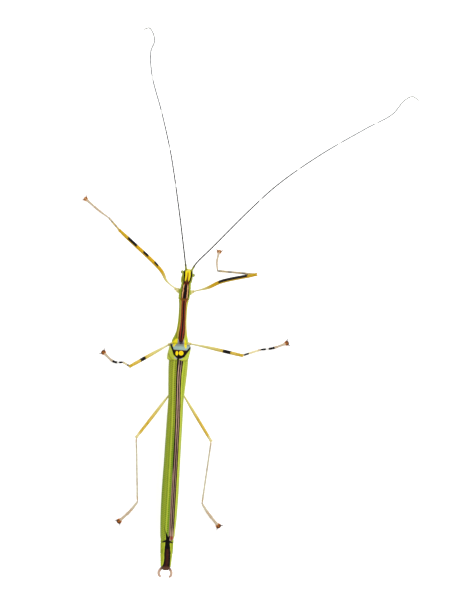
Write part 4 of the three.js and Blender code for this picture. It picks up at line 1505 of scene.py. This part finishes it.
@dataclass(frozen=True)
class LegForm:
    """How thick a pair's legs are.

    Attributes:
        thigh: Radius of the thigh at its thin base, a third along, at its thickest, and before the knee, mm.
        shin: Radius of the shin at its thinnest, mm.
        foot: The foot joints' girth, as a share of the usual.
        pad: The same for the pad and claws.
        haunch: The same for the haunch.
    """

    thigh: tuple[float, float, float, float]
    shin: float
    foot: float
    pad: float
    haunch: float = 1.0


LEGS = {
    (Pair.FORE, Side.LEFT): LegShape(
        (0.2, 10.5, 5.6), (-1.35, 11.3, 5.1), ((-3.3, 12.8, 7.2), (-4.5, 14.8, 8.8)), (-13.1, 22.1, 14.2),
        (-16.1, 24.9, 1.6), (-18.4, 26.4, 0.4), (-21.5, 28.75, 0.24),
    ),
    (Pair.FORE, Side.RIGHT): LegShape(
        (0.9, 10.5, 5.6), (2.1, 11, 5.1), ((5.15, 12, 8), (7.6, 13.3, 9.9)), (14.6, 15.2, 16.8),
        (6.85, 15.55, 5.5), (6.6, 17.5, 2.7), (6.95, 19.8, 0.24),
    ),
    (Pair.MID, Side.LEFT): LegShape(
        (-0.3, 0.1, 5.2), (-1.9, 0, 4.7), ((-4.6, -1.75, 7.8),), (-9.3, -4.8, 12.3),
        (-11.1, -4.4, 2.1), (-13.2, -4.4, 0.4), (-15.6, -2.5, 0.24),
    ),
    (Pair.MID, Side.RIGHT): LegShape(
        (0.7, 0.3, 5.2), (2.2, 0.4, 4.7), ((5.8, -0.05, 6.6),), (13, -1.15, 10.4),
        (16.75, 0.1, 1), (19.3, 0.6, 0.4), (22.3, 1.9, 0.24),
    ),
    (Pair.HIND, Side.LEFT): LegShape(
        (0, -8.8, 4.8), (-0.6, -9.3, 4.05), ((-3.45, -13.6, 6.15),), (-7.15, -19.05, 9.3),
        (-6.3, -32.8, 1), (-7.6, -34.7, 0.4), (-10, -37.25, 0.24),
    ),
    (Pair.HIND, Side.RIGHT): LegShape(
        (0.4, -8.8, 4.8), (1.1, -9.3, 4.05), ((3.85, -13.15, 6.15),), (7.95, -18.8, 9.4),
        (6.95, -32.2, 1), (8.3, -34.1, 0.4), (10.8, -36.85, 0.24),
    ),
}
CREAM_BASES = {
    Pair.FORE: (Paint(Tint.STRAW, "along", -0.1, 0.26, 0.16), Paint(Tint.IVORY, "along", -0.1, 0.16, 0.1)),
    Pair.MID: (Paint(Tint.STRAW, "along", -0.1, 0.55, 0.4), Paint(Tint.IVORY, "along", -0.1, 0.24, 0.2)),
    Pair.HIND: (Paint(Tint.STRAW, "along", -0.1, 0.45, 0.4), Paint(Tint.IVORY, "along", -0.1, 0.1, 0.2)),
}
HIP_LINE = Paint(Tint.OLIVE, "along", -0.1, 0.012, 0.012, share=0.6)
PALE_KNEE = (
    HIP_LINE,
    Paint(Tint.IVORY, "along", 0.92, 1.1, 0.06, share=0.8),
    Paint(Tint.UMBER, "along", 0.99, 1.1, 0.01, share=0.3),
)
KNEES = {
    Pair.FORE: (HIP_LINE, Paint(Tint.OCHRE, "along", 0.955, 1.1, 0.03, share=0.5)),
    Pair.MID: (HIP_LINE, Paint(Tint.OCHRE, "along", 0.94, 1.1, 0.04, share=0.6)),
    Pair.HIND: PALE_KNEE,
}
THIGH_MARKS = {
    (Pair.FORE, Side.LEFT): (
        Paint(Tint.SOOT, "round_side", -0.5, 2.0, 0.2, 0.1, span=(0.74, 0.88, 0.02)),
        Paint(Tint.SOOT, "round_side", -0.3, 2.0, 0.2, 0.1, span=(0.562, 0.642, 0.02)),
        Paint(Tint.SOOT, "round_side", -0.1, 2.0, 0.2, 0.1, span=(0.4, 0.464, 0.02)),
    ),
    (Pair.FORE, Side.RIGHT): (Paint(Tint.SOOT, "round_side", -2.0, 0.42, 0.2, 0.1, span=(0.42, 0.88, 0.03)),),
    (Pair.MID, Side.LEFT): (Paint(Tint.SOOT, "along", 0.64, 0.757, 0.015),),
    (Pair.MID, Side.RIGHT): (Paint(Tint.SOOT, "along", 0.648, 0.79, 0.015),),
}
SHIN_RINGS = (1.31, 1.66, 1.96)
SHIN_MARKS = {
    Pair.FORE: tuple(Paint(Tint.STEEL, "along", at - 0.05, at + 0.05, 0.04, share=0.6) for at in SHIN_RINGS),
    Pair.MID: (Paint(Tint.SOOT, "along", 1.05, 1.32, 0.04), Paint(Tint.FAWN, "along", 1.85, 2.1, 0.1)),
    Pair.HIND: (Paint(Tint.FAWN, "along", 0.9, 1.06, 0.05), Paint(Tint.FAWN, "along", 1.9, 2.1, 0.1)),
}
GOLDEN_SHIN = {(Pair.FORE, Side.LEFT): (Paint(Tint.OCHRE, "along", 0.9, 1.62, 0.3, share=0.75),)}
TREAD_MARKS = {
    Pair.FORE: (Paint(Tint.AMBER, "joint", 0.75, 2.0, 0.3, share=0.5),),
    Pair.MID: (
        Paint(Tint.AMBER, "joint", 0.75, 2.0, 0.3, share=0.6),
        Paint(Tint.SOOT, "along", 1.9, 2.185, 0.02),
        Paint(Tint.PEARL, "along", 2.185, 2.28, 0.02),
        Paint(Tint.SOOT, "along", 2.285, 2.5, 0.02),
    ),
    Pair.HIND: (
        Paint(Tint.BONE, "along", 1.9, 2.3, 0.1, share=0.4),
        Paint(Tint.AMBER, "joint", 0.7, 2.0, 0.3, share=0.5),
    ),
}
DARK_PAD = (
    Paint(Tint.RUST, "along", 3.0, 3.99, 0.1),
    Paint(Tint.PITCH, "along", 3.7, 4.0, 0.25, 0.1, share=0.8),
    Paint(Tint.PITCH, "along", 4.0, 5.5, 0.1, share=0.9),
)
PAD_MARKS = {
    Pair.FORE: (
        Paint(Tint.AMBER, "along", 3.0, 3.99, 0.1),
        Paint(Tint.CHESTNUT, "along", 3.75, 4.0, 0.2, share=0.3),
        Paint(Tint.UMBER, "along", 4.0, 5.5, 0.1),
    ),
    Pair.MID: DARK_PAD,
    Pair.HIND: DARK_PAD,
}
SHIN_TINTS = {
    Pair.FORE: (Tint.REED, Tint.DUST),
    Pair.MID: (Tint.IVORY, Tint.REED),
    Pair.HIND: (Tint.BONE, Tint.DUST),
}
HAUNCH_PAINTS = (
    Paint(Tint.LIME, "along", -0.2, 0.55, 0.4, share=0.85),
    Paint(Tint.OCHRE, "joint", 0.6, 2.0, 0.4, share=0.6),
)
HAUNCH = Cuticle("haunch_cuticle", "trunk", Tint.STRAW, Tint.IVORY, HAUNCH_PAINTS, blotch=0.4)
FORMS = {
    Pair.FORE: LegForm((0.18, 0.37, 0.4, 0.42), shin=0.2, foot=1.05, pad=1.05, haunch=1.15),
    Pair.MID: LegForm((0.21, 0.28, 0.37, 0.39), shin=0.2, foot=1.22, pad=1.15),
    Pair.HIND: LegForm((0.19, 0.27, 0.33, 0.35), shin=0.17, foot=1.4, pad=1.25),
}
COXA = Profile([(0, 0.4), (0.55, 0.42), (0.8, 0.38), (0.95, 0.3), (1, 0.24)])
SHIN_FORM = Profile([(0, 1.15), (0.04, 1.25), (0.14, 1.0), (0.8, 1.0), (0.96, 1.25), (1, 1.0)])
TOE_FORM = Profile([(0, 0.72), (0.2, 0.86), (0.75, 1.0), (0.95, 1.16), (1, 1.0)])
KNEE_LOBES = (
    ((-0.04, 0, 0), (0.27, 0.22, 0.26)),
    ((0, -0.19, -0.06), (0.32, 0.15, 0.29)),
    ((0, 0.19, -0.06), (0.32, 0.15, 0.29)),
)
TARSOMERES = (
    (0.0, 0.42, 0.19), (0.42, 0.49, 0.21), (0.49, 0.545, 0.22), (0.545, 0.595, 0.23), (0.595, 0.9, 0.21),
)


@dataclass
class Leg:
    """One leg: haunch, thigh, shin, and a foot of five joints with a pad and two claws.

    Every part is a rounded section carried along its route. The thigh and shin have keels with fine hairs.

    Attributes:
        pair: The pair that it belongs to.
        side: Its side.
        shape: Where it runs.
        form: How thick it is.
        columns: Points round a part.
        knob: How far the trochanter reaches behind the hip and ahead of it, and its radius, mm.
        pad: Half sizes of the pad: across, along and in height, mm.
        pad_height: Height of its middle over the floor, mm.
        thigh_hairs: How many hairs the thigh has, and the longest, mm.
        shin_hairs: The same for the shin.
        foot_hairs: The same for the foot.
    """

    pair: Pair
    side: Side
    shape: LegShape
    form: LegForm
    columns: int = 32
    knob: Point = (0.28, 0.52, 0.29)
    pad: Point = (0.44, 0.47, 0.195)
    pad_height: float = 0.2
    thigh_hairs: tuple[int, float] = (130, 0.2)
    shin_hairs: tuple[int, float] = (200, 0.2)
    foot_hairs: tuple[int, float] = (50, 0.16)

    @property
    def label(self) -> str:
        """The leg's name, as in its nodes' names."""
        return f"{self.pair.value}_{self.side.label}"

    def haunch(self) -> Shell:
        """The coxa from inside the trunk to the hip, and the trochanter as a knob over the hip.

        Returns:
            Their surface.
        """
        route, share = Route([self.shape.root, self.shape.hip]), np.linspace(0, 1, 50)
        girth = rounded(share, self.form.haunch * COXA(share))
        marks = {"along": share, "joint": bell(share, 0.97, 0.06)}
        coxa = sweep(route, share * route.length, girth, self.columns, marks, keels=(3, 0.05))
        hip, ahead = np.array(self.shape.hip), self.thigh_route().axes_at(0.0)[0]
        over = Route([hip - self.knob[0] * ahead, hip + self.knob[1] * ahead])
        ring = (1 - np.cos(np.linspace(0, math.pi, 40))) / 2
        girth = self.knob[2] * np.sqrt(np.clip(1 - (2 * ring - 1) ** 2, 0, 1)) + LEAST_GIRTH
        marks = {"along": 1 + 0 * ring, "joint": bell(ring, 0.75, 0.08)}
        return Shell.joined([coxa, sweep(over, ring * over.length, girth, self.columns, marks)])

    def thigh_route(self) -> Route:
        """The way from the hip to the knee."""
        return Route([self.shape.hip, *self.shape.bends, self.shape.knee])

    def thigh(self) -> Shell:
        """The femur: thin at its base and four-keeled, with a cap and two rounded lobes at the knee.

        Returns:
            Its surface.
        """
        route, share = self.thigh_route(), np.linspace(0.012, 1, 240)
        base, early, full, tip = self.form.thigh
        form = Profile([
            (0, base), (0.1, base * 0.92), (0.3, early), (0.55, full), (0.8, full * 0.97),
            (0.93, tip * 0.95), (0.975, tip * 1.12), (1, tip),
        ])
        girth, marks = rounded(share, form(share)), {"along": share}
        limb = sweep(route, share * route.length, girth, self.columns, marks, (0.9, 1.0), (4, 0.09))
        _, side, up = route.axes_at(route.length * 0.985)
        ahead = route.axes_at(route.length)[0]
        knee, axes = route.at(np.array([route.length - 0.12]))[0], np.stack([ahead, side, up], 1)
        lobes = [ball(knee + axes @ place, half, axes, 14, 20).placed(0.96) for place, half in KNEE_LOBES]
        return Shell.joined([limb, *lobes, hairs_on(limb, *self.thigh_hairs, ahead * 0.8)])

    def shin(self) -> Shell:
        """The tibia: slim and straight, a little thicker at both ends, with two short spurs at the ankle.

        Returns:
            Its surface.
        """
        route, share = Route([self.shape.knee, self.shape.ankle]), np.linspace(0, 1, 200)
        slim = self.form.shin
        girth = rounded(share, slim * SHIN_FORM(share))
        limb = sweep(route, share * route.length, girth, self.columns, {"along": 1 + share}, keels=(4, 0.1))
        ahead, side, _ = route.axes_at(route.length)
        spurs = []
        for hand in (-1, 1):
            foot = self.shape.ankle + hand * slim * 0.7 * side - 0.15 * ahead
            spur = [foot, foot + 0.22 * ahead + hand * 0.1 * side, foot + 0.36 * ahead + hand * 0.12 * side]
            spurs.append(self.spike(spur, 0.05, 2.0))
        return Shell.joined([limb, *spurs, hairs_on(limb, *self.shin_hairs, ahead * 0.9)])

    def toe_joint(self, route: Route, number: int) -> list[Shell]:
        """One tarsomere, which flares towards its end, and the sole under it.

        Args:
            route: The way that the foot takes.
            number: Its number, from 0 at the ankle; the last one has no sole.

        Returns:
            Its surfaces.
        """
        start, end, radius = TARSOMERES[number]
        share, last = np.linspace(0, 1, 44), number == len(TARSOMERES) - 1
        arc = (start - 0.012 + (end - start + 0.024) * share) * route.length
        girth = rounded(share, self.form.foot * radius * TOE_FORM(share))
        marks = {"along": 2 + arc / route.length, "joint": smooth(0.72, 0.95, share) * (not last)}
        joint = sweep(route, arc, girth, 24, marks, (1.0, 0.92)).on_floor()
        if last:
            return [joint]
        under = route.at(np.array([(start + (end - start) * 0.9) * route.length]))[0]
        axes = frame_towards(route.axes_at((start + end) / 2 * route.length)[0])
        return [joint, ball(under - 0.09 * axes[:, 1], (0.12, 0.07, 0.17), axes, 12, 18).placed(2 + end)]

    def tread(self) -> Shell:
        """The foot: five tarsomeres, a pad and two claws, all kept on or over the floor.

        Returns:
            Its surface.
        """
        route = Route([self.shape.ankle, self.shape.sole, self.shape.toe])
        shells = [shell for number in range(len(TARSOMERES)) for shell in self.toe_joint(route, number)]
        ahead, side, _ = route.axes_at(route.length)
        level = np.cross(UP, side)
        level = -level if level @ ahead < 0 else level
        tip = route.at(np.array([0.94 * route.length]))[0]
        tip[2] = self.pad_height
        spread = self.form.pad
        half = np.array(self.pad) * (spread, spread, 1.0)
        pad = ball(tip, half, np.stack([side, level, UP], 1), 22, 32)
        forward = (pad.points - tip) @ level
        pad.points += (0.45 * forward * ((pad.points - tip) @ side))[:, None] * side
        shells.append(pad.placed(3.5 + forward / spread))
        for hand in (-1, 1):
            start = tip + 0.12 * UP + hand * 0.13 * side - 0.05 * level
            bend = start + spread * (0.44 * level + hand * 0.45 * side) + 0.05 * UP
            hook = start + spread * (0.66 * level + hand * 0.66 * side) - 0.22 * UP
            shells.append(self.spike([start, bend, hook], 0.1 * spread, 4.6))
        return Shell.joined([*shells, hairs_on(shells[0], *self.foot_hairs, ahead * 0.8)]).on_floor()

    @staticmethod
    def spike(points: Sequence[Array], radius: float, along: float) -> Shell:
        """A claw or spur: a cone that bends along a route, radius (1 - share^1.5).

        Args:
            points: The points that it passes through.
            radius: Its radius at the root, mm.
            along: Its mark "along".

        Returns:
            Its surface.
        """
        route, share = Route(points), np.linspace(0, 1, 24)
        girth = radius * (1 - share**1.5) + 0.004
        return sweep(route, share * route.length, girth, 12, {"along": np.full(24, along)})

    def build(self) -> None:
        """Makes the leg's four parts, each in place of its node."""
        pair, key = self.pair, (self.pair, self.side)
        gold = Tint.GOLD if pair is Pair.FORE else Tint.HONEY
        thigh = CREAM_BASES[pair] + KNEES[pair] + THIGH_MARKS.get(key, ())
        shin = GOLDEN_SHIN.get(key, ()) + SHIN_MARKS[pair]
        foot = TREAD_MARKS[pair] + PAD_MARKS[pair]
        finishes = (
            HAUNCH,
            Cuticle(f"thigh_{self.label}_cuticle", "femur", gold, Tint.OCHRE, thigh, blotch=0.5),
            Cuticle(f"shin_{self.label}_cuticle", "tibia", *SHIN_TINTS[pair], shin, blotch=0.5),
            Cuticle(f"foot_{pair.value}_cuticle", "foot", Tint.DUST, Tint.FAWN, foot, blotch=0.3, drawn=1.0),
        )
        shells = (self.haunch(), self.thigh(), self.shin(), self.tread())
        names = (("haunch", "coxa"), ("thigh", "femur"), ("shin", "tibia"), ("tread", "foot"))
        for (name, node), shell, finish in zip(names, shells, finishes):
            add_piece(f"{name}_{self.label}", shell, finish, [f"{self.label}_{node}"])


@dataclass
class Legs:
    """The six legs."""

    def build(self) -> None:
        """Makes them pair by pair."""
        for (pair, side), shape in LEGS.items():
            Leg(pair, side, shape, FORMS[pair]).build()


# ------------------------------------------------------------------ claspers

CLASPERS = {
    Side.LEFT: ((-0.3, -45.5, 3.7), (-0.85, -46.4, 3.6), (-0.8, -47.1, 3.5), (-0.4, -47.5, 3.45)),
    Side.RIGHT: ((1.2, -45.5, 3.7), (1.65, -46.4, 3.6), (1.6, -47.1, 3.5), (1.2, -47.5, 3.45)),
}
CLASPER_FORM = Profile([(0, 0.9), (0.2, 1.0), (0.8, 0.9), (1, 0.75)])
CLASPER_ROOT = (Paint(Tint.CHESTNUT, "along", -0.2, 0.22, 0.3, share=0.8),)
CLASPER = Cuticle("clasper_cuticle", "cercus", Tint.BLUSH, Tint.FAWN, CLASPER_ROOT, blotch=0.3)


@dataclass
class Claspers:
    """The two curved claspers (cerci) at the tail, with fine hairs.

    Attributes:
        radius: Radius at the root, mm.
        hairs: How many hairs each has, and the longest, mm.
    """

    radius: float = 0.27
    hairs: tuple[int, float] = (60, 0.22)

    def build(self) -> None:
        """Makes each clasper in place of its node."""
        share = np.linspace(0, 1, 70)
        girth = rounded(share, self.radius * CLASPER_FORM(share))
        for side, points in CLASPERS.items():
            route = Route(points)
            limb = sweep(route, share * route.length, girth, 24, {"along": share}, (1.0, 0.9))
            hairs = hairs_on(limb, *self.hairs, np.array([0.0, -0.8, 0.2]))
            add_piece(f"clasper_{side.label}", Shell.joined([limb, hairs]), CLASPER, [f"cercus_{side.label}"])


# ------------------------------------------------------------------ studio


@dataclass
class Studio:
    """A pale floor, soft light and the camera straight above.

    Attributes:
        view_centre: Where the camera looks, in row millimetres.
        height: The camera's height over the floor, mm.
        tall: Height of the field at the floor, mm.
        turned: The camera's turn about the vertical, degrees.
        sensor: Height of the camera's sensor, mm.
        half_floor: Half the floor's width, m.
        lamps: Each lamp's name, its place and width in metres, and its power.
        air: Strength of the light from all round.
    """

    view_centre: tuple[float, float] = (-2.98, 2.54)
    height: float = 450.0
    tall: float = 125.83
    turned: float = 3.95
    sensor: float = 36.0
    half_floor: float = 2.0
    lamps: tuple[tuple[str, Point, float, float], ...] = (
        ("key", (0.35, 0.25, 0.6), 0.5, 3.4),
        ("fill", (-0.5, -0.2, 0.5), 0.6, 0.9),
    )
    air: float = 0.75

    @staticmethod
    def add(name: str, data: bpy.types.ID) -> bpy.types.Object:
        """Puts a new object into the scene.

        Args:
            name: Its name.
            data: What it shows.

        Returns:
            The object.
        """
        thing = bpy.data.objects.new(name, data)
        bpy.context.scene.collection.objects.link(thing)
        return thing

    def floor(self) -> None:
        """A wide pale sheet at the floor's level."""
        mesh = bpy.data.meshes.new("floor")
        half = self.half_floor
        corners = [(-half, -half, 0), (half, -half, 0), (half, half, 0), (-half, half, 0)]
        mesh.from_pydata(corners, [], [(0, 1, 2, 3)])
        paper = {
            "Base Color": (0.9, 0.9, 0.9, 1.0),
            "Roughness": 0.9,
            "Specular IOR Level": 0.1,
            "Emission Color": (1.0, 1.0, 1.0, 1.0),
            "Emission Strength": 0.32,
        }
        mesh.materials.append(Graph("floor_paper").finish(paper))
        self.add("floor", mesh)

    def lamp(self, name: str, place: Point, size: float, power: float) -> None:
        """A square soft lamp that faces the insect.

        Args:
            name: Its name.
            place: Where it stands, m.
            size: Its width, m.
            power: Its power, W.
        """
        light = bpy.data.lights.new(name, "AREA")
        light.size, light.energy = size, power
        lamp = self.add(name, light)
        lamp.location = place
        away = unit(np.array(place))
        lamp.rotation_euler = (math.acos(away[2]), 0.0, math.atan2(away[1], away[0]) + math.pi / 2)

    def camera(self) -> None:
        """The camera, whose lens gives the field's height on the floor."""
        data = bpy.data.cameras.new("camera")
        data.sensor_fit, data.sensor_height, data.sensor_width = "VERTICAL", self.sensor, self.sensor
        data.lens = self.sensor * self.height / self.tall
        data.clip_start, data.clip_end = 0.01, 10.0
        camera = self.add("camera", data)
        camera.location = [value * METRES for value in (*self.view_centre, self.height)]
        camera.rotation_euler = (0.0, 0.0, math.radians(self.turned))
        bpy.context.scene.camera = camera

    def build(self) -> None:
        """Sets up the floor, the world, the lamps and the camera."""
        scene = bpy.context.scene
        self.floor()
        world = bpy.data.worlds.new("studio_air")
        world.use_nodes = True
        background = world.node_tree.nodes["Background"].inputs
        background[0].default_value, background[1].default_value = (1.0, 1.0, 1.0, 1.0), self.air
        scene.world = world
        for lamp in self.lamps:
            self.lamp(*lamp)
        self.camera()
        scene.view_settings.view_transform, scene.view_settings.look = "Standard", "None"


def main() -> None:
    """Builds the insect and its studio."""
    logging.basicConfig(level=logging.INFO, format="%(name)s %(message)s")
    for assembly in (Trunk(), Eyes(), Mouth(), Feelers(), Wings(), Legs(), Claspers()):
        assembly.build()
        log.info("%s done", type(assembly).__name__)
    Studio().build()


if __name__ == "__main__":
    main()
